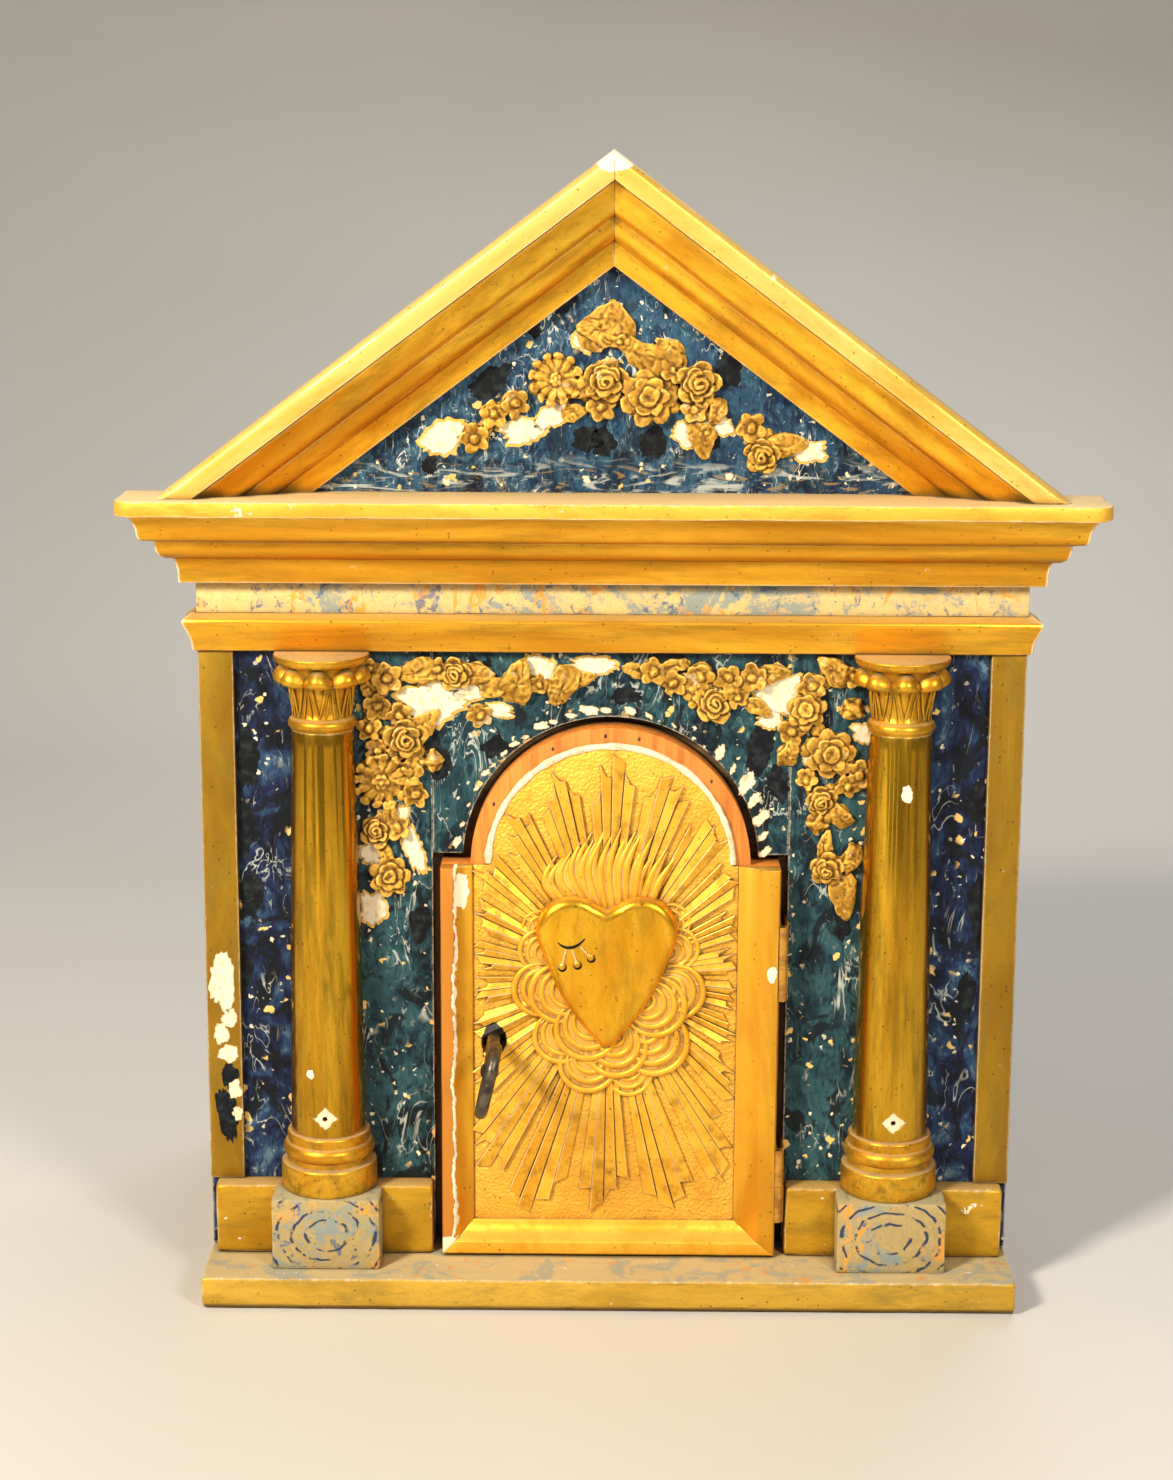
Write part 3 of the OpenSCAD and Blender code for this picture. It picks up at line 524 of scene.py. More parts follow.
def dark_glue_and_shade():
    """Dark dried glue and dirt where ornament has gone with its gesso, also the painted shade of the
    heart's cut and drops.
    """
    f = Finish("dark_glue_and_shade")
    broken = f.grain(6, detail=6, roughness=0.65)
    colour = f.mix((0.004, 0.005, 0.007), (0.02, 0.027, 0.03), f.band(broken, 0.45, 0.7))
    return f.surface(colour, 0.45 + 0.3 * broken, 0.0, f.bump(broken, 0.5), gloss=0.15)


def timber(name, light, dark, run=(1, 1, 0.07), ring=7.0, wear=0.5):
    """Planed board: growth rings and pores drawn out along the grain."""
    f = Finish(name)
    along = f.stretched(*run)
    rings = f.grain(ring, detail=4, roughness=0.55, twist=0.5, place=along)
    pores = f.grain(ring * 0.16, detail=3, place=along)
    stain = f.band(f.grain(60, detail=5, roughness=0.6), 0.46, 0.68)
    # The darkening of hollows is painted shade; the stains and black specks are the board's own
    colour = f.layers(light, (dark, f.band(rings, 0.35, 0.68)), (dark, f.band(pores, 0.55, 0.75) * 0.6),
                      (DIRT_AND_SHADE, stain * wear), (light, f.band(f.arris(3) + 0.2 * rings, 0.16, 0.34) * 0.6),
                      (DIRT_AND_SHADE, f.band(f.hollow(12), 0.4, 1.0) * 0.7),
                      ((0.012, 0.008, 0.005), f.spots(0.55, 11, 0.5, reach=0.2) * 0.9))
    relief = f.bump(rings + 0.6 * pores, 0.3)
    return f.surface(colour, 0.62 + 0.2 * rings, 0.0, relief)


def metal(name, bright, dark, rust, roughness=0.42, rusted=0.5, metallic=0.85):
    """Handled metal with dark patina and rust."""
    f = Finish(name)
    patches = f.grain(9, detail=6, roughness=0.65)
    fine = f.grain(1.2, detail=5, roughness=0.7)
    colour = f.mix(bright, dark, f.band(patches, 0.4, 0.62))
    corroded = f.band(f.grain(5, detail=7, roughness=0.72), 0.52, 0.64) * rusted
    colour = f.mix(colour, rust, corroded)
    edges = f.band(f.arris(1.2) + 0.15 * fine, 0.12, 0.3)
    colour = f.mix(colour, bright, edges * 0.7)
    relief = f.bump(patches + 0.6 * fine, 0.16)
    tone = roughness + corroded * 0.35 + (fine - 0.5) * 0.2
    return f.surface(colour, tone, metallic * (1 - corroded), relief)


def make_finishes():
    """Every finish by name."""
    upright = (1, 1, 0.3)
    level = (0.3, 1, 1)
    door_left = -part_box("door_stile_left")[0].x / MM
    door_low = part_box("door_stile_left")[0].z / MM
    # Each look sets how strongly its corners are darkened with painted shade
    door_look = {"leaf": (0.9, 0.5, 0.05), "deep": (0.8, 0.39, 0.025), "worn": (0.55, 0.26, 0.025),
                 "wear": 0.5, "chips": 0.0, "roughness": 0.4, "metallic": 0.5, "corner_shade": 0.6, "edge": 1.2,
                 "dusty": 0.3}
    dull = {**door_look, "leaf": (0.72, 0.37, 0.025), "deep": (0.6, 0.27, 0.015), "run": upright}
    # Where the keyhole's painted shade lies: its middle and half sizes
    keyhole = (-73.0, 165.0, 7.8, 11.0)
    wood = ((0.3, 0.18, 0.09), (0.13, 0.07, 0.032))
    rakes = {}
    for side, turn in (("left", -RAKE), ("right", RAKE)):
        rakes[f"leaf_rake_{side}"] = gilding(f"gold_leaf_rake_{side}", run=(*level, turn), wear=0.4,
            chips=0.2, roughness=0.32, metallic=0.75,
            leaf=(0.9, 0.5, 0.035))
        rakes[f"leaf_cap_{side}"] = gilding(
            f"gold_leaf_cap_{side}", run=(*level, turn), wear=0.35, chips=0.5, roughness=0.4,
            metallic=0.5, leaf=(0.92, 0.62, 0.16), deep=(0.84, 0.5, 0.08), dusty=1.0,
            top=(0.5, 0.43, 0.29), marks=[(0, 712, 13, 7)], back=True)
    return {
        "leaf_level": gilding("gold_leaf_level", run=(0.12, 1, 1), wear=0.45, chips=0.2, roughness=0.32,
            metallic=0.75),
        **rakes,
        "leaf_shaft": gilding("gold_leaf_shaft", run=(1, 1, 0.12), wear=0.75, chips=-0.2,
            roughness=0.2, metallic=0.95, leaf=(0.66, 0.37, 0.025), relief=0.03,
            deep=(0.46, 0.22, 0.012), worn=(0.22, 0.14, 0.014), peg=(COLUMN_X, PEG_HOLE_Z),
            marks=[(COLUMN_X + 3, 331, 3.5, 5.5), (-COLUMN_X - 9, 148, 2.5, 3)]),
        "leaf_carved": gilding("gold_leaf_carved", edge=0.5, wear=0.75, chips=-2.0, roughness=0.36,
            metallic=0.8, leaf=(0.78, 0.44, 0.035), dusty=0.85,
            top=(0.5, 0.36, 0.2)),
        "leaf_strip": gilding("gold_leaf_strip", run=upright, wear=0.85, chips=0.4, roughness=0.42,
            metallic=0.5, leaf=(0.34, 0.19, 0.012), deep=(0.26, 0.13, 0.008)),
        "leaf_block": gilding("gold_leaf_block", run=level, wear=0.55, chips=0.6, roughness=0.45,
            metallic=0.45, leaf=(0.58, 0.32, 0.02), deep=(0.46, 0.23, 0.012),
            marks=[(-COLUMN_X + 8, 11, 6, 7)]),
        "leaf_grimy": gilding("gilded_base", run=level, wear=0.75, chips=0.7, roughness=0.5,
            metallic=0.3, leaf=(0.62, 0.37, 0.045), deep=(0.48, 0.27, 0.022),
            worn=(0.3, 0.2, 0.035), dusty=1.0, top=(0.46, 0.38, 0.21),
            veined=True, back=True),
        "leaf_dusty": gilding("gold_leaf_dusty", run=level, wear=0.35, chips=0.7, roughness=0.5,
            metallic=0.4, leaf=(0.86, 0.5, 0.06), deep=(0.72, 0.38, 0.03), dusty=1.0,
            top=(0.66, 0.53, 0.3), back=True),
        "door_leaf": gilding("door_gold", **door_look),
        "ray_leaf": gilding("door_gold_rays", **{**door_look, "corner_shade": 1.0, "wear": 0.8,
            "worn": (0.42, 0.19, 0.015)}, keyhole_shade=keyhole),
        "door_stile_right": gilding("door_gold_stile", **dull, marks=[(101.5, 212, 3.2, 5.2)]),
        "door_stile_left": gilding("door_gold_stile_left", **dull, bare_side=(door_left - 9, -1), marks=[
            (-door_left + 6, door_low + 4, 9, 8), (-door_left + 13, 264, 4.5, 11)]),
        "door_ground": gilding("door_gold_ground", leaf=(0.86, 0.48, 0.06), deep=(0.78, 0.38, 0.035),
            worn=(0.55, 0.28, 0.04), wear=0.45, chips=0.0, roughness=0.5,
            metallic=0.35, corner_shade=0.6, edge=1.2, stipple=1.7,
            keyhole_shade=keyhole),
        "heart_leaf": gilding("door_gold_burnished", leaf=(0.9, 0.49, 0.03),
            deep=(0.72, 0.33, 0.012), worn=(0.42, 0.23, 0.015), wear=0.6, chips=0.1,
            roughness=0.26, metallic=0.85, run=upright, corner_shade=0.3, edge=2, relief=0.09,
            dusty=0.3),
        "cast": cast_gilding(),
        "panel_blue": marbled_blue("blue_marbling", (0.026, 0.085, 0.1), (0.012, 0.045, 0.06),
            (0.004, 0.012, 0.02), (0.14, 0.23, 0.22), streak=0.6, black=0.9,
            bays=True),
        "tympanum_blue": marbled_blue("blue_marbling_tympanum", (0.03, 0.095, 0.16),
            (0.013, 0.045, 0.095), (0.005, 0.015, 0.04), (0.24, 0.34, 0.36),
            streak=1.0, black=0.6, size=20, spatter=0.9, pale_foot=TYMPANUM_FOOT),
        "frieze_cream": marbled_cream("cream_marbling", 1.3, (0.56, 0.42, 0.17), size=36, blue=0.57),
        "pedestal_cream": marbled_cream("cream_marbling_pedestals", 1.2, (0.36, 0.27, 0.11), dashes=1.0),
        "gesso": bare_gesso(),
        "dark_patch_and_shade": dark_glue_and_shade(),
        "door_wood": timber("bare_door_wood", (0.7, 0.24, 0.03), (0.5, 0.14, 0.014), ring=5, wear=0.12),
        "old_wood": timber("old_wood", *wood),
        "old_wood_level": timber("old_wood_level", *wood, run=(0.07, 1, 1)),
        "old_wood_deep": timber("old_wood_deep", *wood, run=(1, 0.07, 1)),
        "iron": metal("dark_iron", (0.13, 0.11, 0.085), (0.045, 0.038, 0.03), (0.12, 0.045, 0.015)),
        "key_iron": metal("dark_iron_key", (0.16, 0.13, 0.09), (0.04, 0.035, 0.03),
            (0.1, 0.05, 0.02), roughness=0.36, rusted=0.3),
        "brass": metal("worn_brass", (0.62, 0.42, 0.14), (0.26, 0.16, 0.045), (0.1, 0.08, 0.04),
            rusted=0.4),
        "hinge": metal("hinge_metal", (0.62, 0.31, 0.045), (0.36, 0.16, 0.025), (0.1, 0.045, 0.02),
            roughness=0.45, rusted=0.6, metallic=0.6),
    }


# ---------------------------------------------------------------- mesh helpers

def finish_piece(bm, name, finish, body="root", replaced=(), crease=32):
    """Brings a mesh to metres and hands it to its body, finish and material slot."""
    bmesh.ops.scale(bm, vec=(MM, MM, MM), verts=bm.verts)
    mesh = bpy.data.meshes.new(name)
    bm.to_mesh(mesh)
    bm.free()
    mesh.materials.append(finishes[finish])
    mesh.shade_smooth()
    mesh.set_sharp_from_angle(angle=radians(crease))
    piece = new_object(name, mesh)
    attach(piece, body)
    if replaced:
        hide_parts(*replaced)
    return piece


def bevel(bm, edges, width, segments=1, clamp=False):
    bmesh.ops.bevel(bm, geom=edges, offset=width, offset_type="OFFSET", affect="EDGES",
                    segments=segments, profile=0.5, material=-1, clamp_overlap=clamp)


def raise_faces(bm, faces):
    """Extrudes faces and gives the copy's vertices, still to be moved."""
    made = bmesh.ops.extrude_face_region(bm, geom=faces)["geom"]
    return [g for g in made if isinstance(g, bmesh.types.BMVert)]


def rim_of(verts):
    """The edges that join these vertices to each other."""
    return [e for e in {e for v in verts for e in v.link_edges} if all(v in verts for v in e.verts)]


def sharp_edges(bm):
    return [e for e in bm.edges if e.is_manifold and e.calc_face_angle() > radians(33)]


def seal(bm):
    """Merges doubles and turns the faces outwards."""
    bmesh.ops.remove_doubles(bm, verts=bm.verts, dist=DOUBLE)
    bmesh.ops.recalc_face_normals(bm, faces=bm.faces)


def facing(x, z, depth, turn=0.0):
    """Matrix that lays an (x, y) drawing on a face at this depth, with its +z towards the viewer."""
    return (Matrix.Translation((x, depth, z)) @ Matrix.Rotation(pi / 2, 4, "X")
            @ Matrix.Rotation(turn, 4, "Z"))


def arc(x, z, r, start, end, steps):
    """Points on an arc, both ends included; angles in degrees."""
    return [(x + r * cos(radians(start + (end - start) * i / steps)),
             z + r * sin(radians(start + (end - start) * i / steps))) for i in range(steps + 1)]


def node_copy(node):
    """A CAD node's mesh in millimetres, its triangles merged into whole faces."""
    bm = bmesh.new()
    bm.from_mesh(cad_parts[node].data)
    bmesh.ops.scale(bm, vec=(1 / MM,) * 3, verts=bm.verts)
    bmesh.ops.remove_doubles(bm, verts=bm.verts, dist=DOUBLE)
    bmesh.ops.dissolve_limit(bm, angle_limit=radians(1), verts=bm.verts, edges=bm.edges)
    return bm


def wander(bm, reach, size=13.0):
    """Moves vertices a little, as hand work and wear leave them."""
    for v in bm.verts:
        v.co += noise.noise_vector(v.co / size) * reach


def join(bm, part, matrix):
    """Adds a finished part to a mesh, moved by the matrix."""
    bmesh.ops.recalc_face_normals(part, faces=part.faces)
    bmesh.ops.transform(part, matrix=matrix, verts=part.verts)
    mesh = bpy.data.meshes.new("part")
    part.to_mesh(mesh)
    part.free()
    bm.from_mesh(mesh)
    bpy.data.meshes.remove(mesh)


def eased(node, finish, slot, width=0.9, body="root", uneven=0.25, step=11.0):
    """A board or moulding with its arrises rounded and worn unevenly."""
    bm = node_copy(node)
    for edge in sharp_edges(bm):
        cuts = int(edge.calc_length() / step)
        if cuts:
            bmesh.ops.subdivide_edges(bm, edges=[edge], cuts=cuts)
    bevel(bm, sharp_edges(bm), width, segments=2, clamp=True)
    wander(bm, uneven)
    return finish_piece(bm, node + "_eased", finish, body, [node])


def spun(bm, outline, steps=96):
    """Spins an (r, z) outline about Z."""
    ring = [bm.verts.new((r, 0, z)) for r, z in outline]
    edges = [bm.edges.new(pair) for pair in zip(ring, ring[1:])]
    bmesh.ops.spin(bm, geom=ring + edges, cent=(0, 0, 0), axis=(0, 0, 1), angle=2 * pi,
                   steps=steps, use_merge=True, use_duplicate=False)


def plane_flat(bm, depth):
    """Cuts off what lies behind a depth and closes the cut."""
    bmesh.ops.bisect_plane(bm, geom=bm.verts[:] + bm.edges[:] + bm.faces[:], plane_co=(0, depth, 0),
                           plane_no=(0, 1, 0), clear_outer=True)
    bmesh.ops.holes_fill(bm, edges=[e for e in bm.edges if e.is_boundary])


def add_blob(bm, place, size, matrix=Matrix.Identity(4), segments=12, rings=8):
    """An egg-shaped lump; size holds its three half lengths."""
    stretch = Matrix.Diagonal((*size, 1))
    return bmesh.ops.create_uvsphere(bm, u_segments=segments, v_segments=rings, radius=1.0,
                                     matrix=matrix @ Matrix.Translation(place) @ stretch)["verts"]


def add_strands(bm, paths, flatten=1.0, depth=0.0, sides=2, smoothness=5):
    """Tapering round strands, each a list of (x, y, z, radius) that its middle line follows."""
    curve = bpy.data.curves.new("strands", "CURVE")
    curve.dimensions = "3D"
    curve.bevel_depth = 1.0
    curve.bevel_resolution = sides
    curve.use_fill_caps = True
    for path in paths:
        spline = curve.splines.new("NURBS")
        spline.points.add(len(path) - 1)
        for point, (x, y, z, radius) in zip(spline.points, path):
            point.co = (x, y, z, 1)
            point.radius = radius
        spline.order_u = min(4, len(path))
        spline.use_endpoint_u = True
        spline.resolution_u = smoothness
    holder = new_object("strands", curve)
    mesh = bpy.data.meshes.new_from_object(holder)
    before = len(bm.verts)
    bm.from_mesh(mesh)
    bm.verts.ensure_lookup_table()
    added = bm.verts[before:]
    for v in added:
        v.co.y = depth + (v.co.y - depth) * flatten
    bpy.data.objects.remove(holder)
    bpy.data.curves.remove(curve)
    bpy.data.meshes.remove(mesh)
    return added


def cast(bm, name, finish, voxel, replaced=(), body="root", smooth=2):
    """Fuses overlapping lumps into one skin, as a cast and gessoed ornament is."""
    mesh = bpy.data.meshes.new(name)
    bm.to_mesh(mesh)
    bm.free()
    rough = new_object(name, mesh)
    fuse = rough.modifiers.new("fuse", "REMESH")
    fuse.mode = "VOXEL"
    fuse.voxel_size = voxel
    soften = rough.modifiers.new("soften", "SMOOTH")
    soften.iterations = smooth
    soften.factor = 0.5
    evaluated = rough.evaluated_get(bpy.context.evaluated_depsgraph_get())
    fused = bmesh.new()
    fused.from_mesh(bpy.data.meshes.new_from_object(evaluated))
    bpy.data.objects.remove(rough)
    return finish_piece(fused, name, finish, body, replaced, crease=80)


# ---------------------------------------------------------------- columns

def column_base(side, node):
    """A low drum under a torus and fillet, on the pedestal."""
    outline = ([(0, PLINTH_TOP), (29.8, PLINTH_TOP), (30.3, PLINTH_TOP + 1)]
               + arc(28.6, 83.8, 1.7, 0, 90, 4) + [(26.6, 86.2)]
               + [(26.2, 88.6)] + arc(23.4, 94.2, 5.6, -62, 62, 12)
               + [(26, 100.4), (26.4, 102.6)] + arc(24.6, 104, 1.8, 10, 90, 4)
               + [(24, BASE_TOP), (0, BASE_TOP)])
    bm = bmesh.new()
    spun(bm, outline)
    bmesh.ops.translate(bm, vec=(side * COLUMN_X, COLUMN_Y, 0), verts=bm.verts)
    plane_flat(bm, PANEL)
    seal(bm)
    wander(bm, 0.2)
    finish_piece(bm, node + "_turned", "leaf_carved", replaced=[node])


def add_lobe(bm, turn, ring, height, x, y):
    """One curled leaf tip of the capital: a plump lip that rolls over and down."""
    matrix = Matrix.Translation((x, y, height)) @ Matrix.Rotation(turn, 4, "Z")
    half_width = 9.3
    inverse = matrix.inverted()
    for v in add_blob(bm, (ring, 0, 0), (7.8, half_width, 5.8), matrix, segments=28, rings=16):
        local = inverse @ v.co
        across = local.y / half_width
        local.z -= 4.2 * across * across + max(0.0, local.x - ring) * 0.25
        local.x -= 2.6 * across * across
        v.co = matrix @ local


def capital(side, node):
    """Astragal, bell with lancet leaves, eight curled leaf tips and a round abacus."""
    x = side * COLUMN_X
    outline = ([(0, SHAFT_TOP), (SHAFT_R_TOP, SHAFT_TOP), (19.4, 366.6)]
               + arc(17.4, 370.2, 3.8, -55, 62, 10)
               + [(18.4, 374.2), (17.6, 375), (17.7, 380), (18.3, 388), (19.6, 396), (21.6, 402),
                  (23.4, 406.4), (24.4, 407.5)]
               + arc(25.0, 411.5, 4.2, -80, 0, 7)
               + [(29.5, 411.8), (29.5, 412.8), (28.8, ORDER_TOP), (0, ORDER_TOP)])
    bm = bmesh.new()
    spun(bm, outline)
    bmesh.ops.translate(bm, vec=(x, COLUMN_Y, 0), verts=bm.verts)
    leaves = 8
    # Ribs as points of (swing, z, ring radius, thickness), from the astragal up
    on_leaf = [(0.0, 375.4, 17.9, 0.5), (0.1, 381, 18.6, 0.95), (0.19, 390, 19.3, 1.05),
               (0.25, 398, 20.4, 1.2)]
    between = [(0.15, 375.4, 18.1, 0.6), (0.1, 382, 18.6, 0.9), (0.03, 391, 19.0, 0.6),
               (0.0, 395, 19.4, 0.2)]
    ribs = []
    for i in range(leaves):
        turn = 2 * pi * i / leaves
        add_lobe(bm, turn, 22.4, 401.2, x, COLUMN_Y)
        for start, points in ((turn, on_leaf), (turn + pi / leaves, between)):
            for lean in (-1, 1):
                ribs.append([(x + r * cos(start + lean * swing), COLUMN_Y + r * sin(start + lean * swing),
                              z, thick) for swing, z, r, thick in points])
    add_strands(bm, ribs)
    plane_flat(bm, PANEL)
    seal(bm)
    finish_piece(bm, node + "_carved", "leaf_carved", replaced=[node], crease=50)


# ---------------------------------------------------------------- garlands

def add_petals(bm, matrix, count, ring, length, width, thick, lift, turn=0.0, tilt=0.0, cup=0.2):
    """A ring of cupped petals; lengths are half lengths, tilt raises their tips."""
    for i in range(count):
        angle = turn + 2 * pi * i / count
        petal = (matrix @ Matrix.Rotation(angle, 4, "Z") @ Matrix.Translation((ring, 0, lift))
                 @ Matrix.Rotation(-tilt, 4, "Y"))
        inverse = petal.inverted()
        for v in add_blob(bm, (0, 0, 0), (length, width, thick), petal, 10, 6):
            local = inverse @ v.co
            local.z += cup * (local.x ** 2 / length + local.y ** 2 / width) - cup * length * 0.4
            v.co = petal @ local


def add_rose(bm, matrix, r, h, rng):
    """A full rose: outer petals round a tightly coiled heart."""
    turn = rng.uniform(0, 2)
    add_petals(bm, matrix, 5, r * 0.6, r * 0.42, r * 0.44, h * 0.22, h * 0.3, turn, 0.18, 0.28)
    add_petals(bm, matrix, 5, r * 0.42, r * 0.34, r * 0.36, h * 0.2, h * 0.55, turn + 0.6, 0.4, 0.3)
    add_blob(bm, (0, 0, h * 0.45), (r * 0.42, r * 0.42, h * 0.5), matrix)
    coil = []
    for i in range(15):
        angle = turn + i * 0.8
        spread = r * (0.47 - 0.028 * i)
        coil.append(matrix @ Vector((spread * cos(angle), spread * sin(angle), h * (0.8 + 0.022 * i))))
    add_strands(bm, [[(*p, r * 0.085) for p in coil]])


def add_daisy(bm, matrix, r, h, rng):
    """A dished daisy with ribbed rays and a beaded eye."""
    turn = rng.uniform(0, 1)
    rays = 12
    add_petals(bm, matrix, rays, r * 0.6, r * 0.4, r * 0.15, h * 0.2, h * 0.42, turn, 0.1, 0.1)
    add_petals(bm, matrix, rays, r * 0.85, r * 0.14, r * 0.18, h * 0.2, h * 0.55, turn, 0.3, 0.2)
    add_blob(bm, (0, 0, h * 0.2), (r * 0.85, r * 0.85, h * 0.35), matrix)
    add_petals(bm, matrix, 6, r * 0.17, r * 0.1, r * 0.1, h * 0.16, h * 0.72, turn)
    add_blob(bm, (0, 0, h * 0.75), (r * 0.1, r * 0.1, h * 0.2), matrix)


def add_peony(bm, matrix, r, h, rng):
    """A heavy bloom with rows of rounded petals folded over one another."""
    turn = rng.uniform(0, 2)
    add_blob(bm, (0, 0, h * 0.2), (r * 0.8, r * 0.8, h * 0.6), matrix)
    add_petals(bm, matrix, 7, r * 0.66, r * 0.36, r * 0.34, h * 0.24, h * 0.34, turn, 0.1, 0.2)
    add_petals(bm, matrix, 6, r * 0.4, r * 0.32, r * 0.3, h * 0.22, h * 0.66, turn + 0.4, 0.3, 0.2)
    add_petals(bm, matrix, 4, r * 0.18, r * 0.2, r * 0.24, h * 0.2, h * 0.9, turn, 0.5, 0.3)


def add_blossom(bm, matrix, r, h, rng):
    """A small five-petalled flower."""
    turn = rng.uniform(0, 2)
    add_petals(bm, matrix, 5, r * 0.55, r * 0.45, r * 0.4, h * 0.25, h * 0.4, turn, 0.25, 0.25)
    add_blob(bm, (0, 0, h * 0.55), (r * 0.3, r * 0.3, h * 0.4), matrix)
    add_blob(bm, (0, 0, h * 0.1), (r * 0.7, r * 0.7, h * 0.3), matrix)


def add_bud(bm, matrix, r, h, rng):
    """A ribbed bud or seed head."""
    add_petals(bm, matrix, 4, r * 0.3, r * 0.6, r * 0.3, h * 0.4, h * 0.4, rng.uniform(0, 2), 0.1, 0.1)
    add_blob(bm, (0, 0, h * 0.5), (r * 0.55, r * 0.45, h * 0.5), matrix)


def add_leaf(bm, matrix, r, h, rng):
    """A broad leaf with a keel, side veins and a nibbled edge."""
    turned = matrix @ Matrix.Rotation(rng.uniform(0, 2 * pi), 4, "Z")
    add_leaf_blade(bm, turned, r * 1.35, r * 0.75, h)


def add_leaf_blade(bm, matrix, length, width, h):
    """The blade runs along local x; its tip is at +length."""
    inverse = matrix.inverted()
    for v in add_blob(bm, (0, 0, h * 0.4), (length, width, h * 0.42), matrix, 28, 12):
        local = inverse @ v.co
        along = local.x / length
        keel = abs(local.y) / width
        local.y *= (1 - 0.4 * along) * (1 + 0.06 * sin(along * 22))
        local.z += h * (0.28 * keel - 0.06 * cos(along * 20 - keel * 6)) - h * 0.3 * along * along
        v.co = matrix @ local


BLOOM_KINDS = {"rose": add_rose, "daisy": add_daisy, "peony": add_peony, "blossom": add_blossom,
               "bud": add_bud, "leaf": add_leaf}


def garland(name, depth, seed, blooms, blades=()):
    """A cast swag: each bloom is (kind, x, z, radius, height), each blade (x, z, length, width, turn)."""
    rng = random.Random(seed)
    bm = bmesh.new()
    for kind, x, z, r, h in blooms:
        tip = Matrix.Rotation(rng.uniform(-0.22, 0.22), 4, "X") @ Matrix.Rotation(
            rng.uniform(-0.22, 0.22), 4, "Y")
        BLOOM_KINDS[kind](bm, facing(x, z, depth) @ tip, r * 1.14, h * 1.1, rng)
        add_blob(bm, (x, depth, z), (r * 0.95, h * 0.5, r * 0.9))
    for i, (_, x, z, r, _) in enumerate(blooms):
        for _, other_x, other_z, other_r, _ in blooms[i + 1:]:
            if hypot(x - other_x, z - other_z) < (r + other_r) * 1.25:
                middle = ((x + other_x) / 2 + rng.uniform(-2, 2), depth,
                          (z + other_z) / 2 + rng.uniform(-2, 2))
                add_blob(bm, middle, (5.5, 3.6, 4.6))
    for x, z, length, width, turn in blades:
        add_leaf_blade(bm, facing(x, z, depth, radians(turn)), length, width, 4.5)
    wander(bm, 1.5, 7)
    wander(bm, 0.7, 2.8)
    plane_flat(bm, depth + 0.4)
    cast(bm, name + "_cast", "cast", 0.6, replaced=[name])


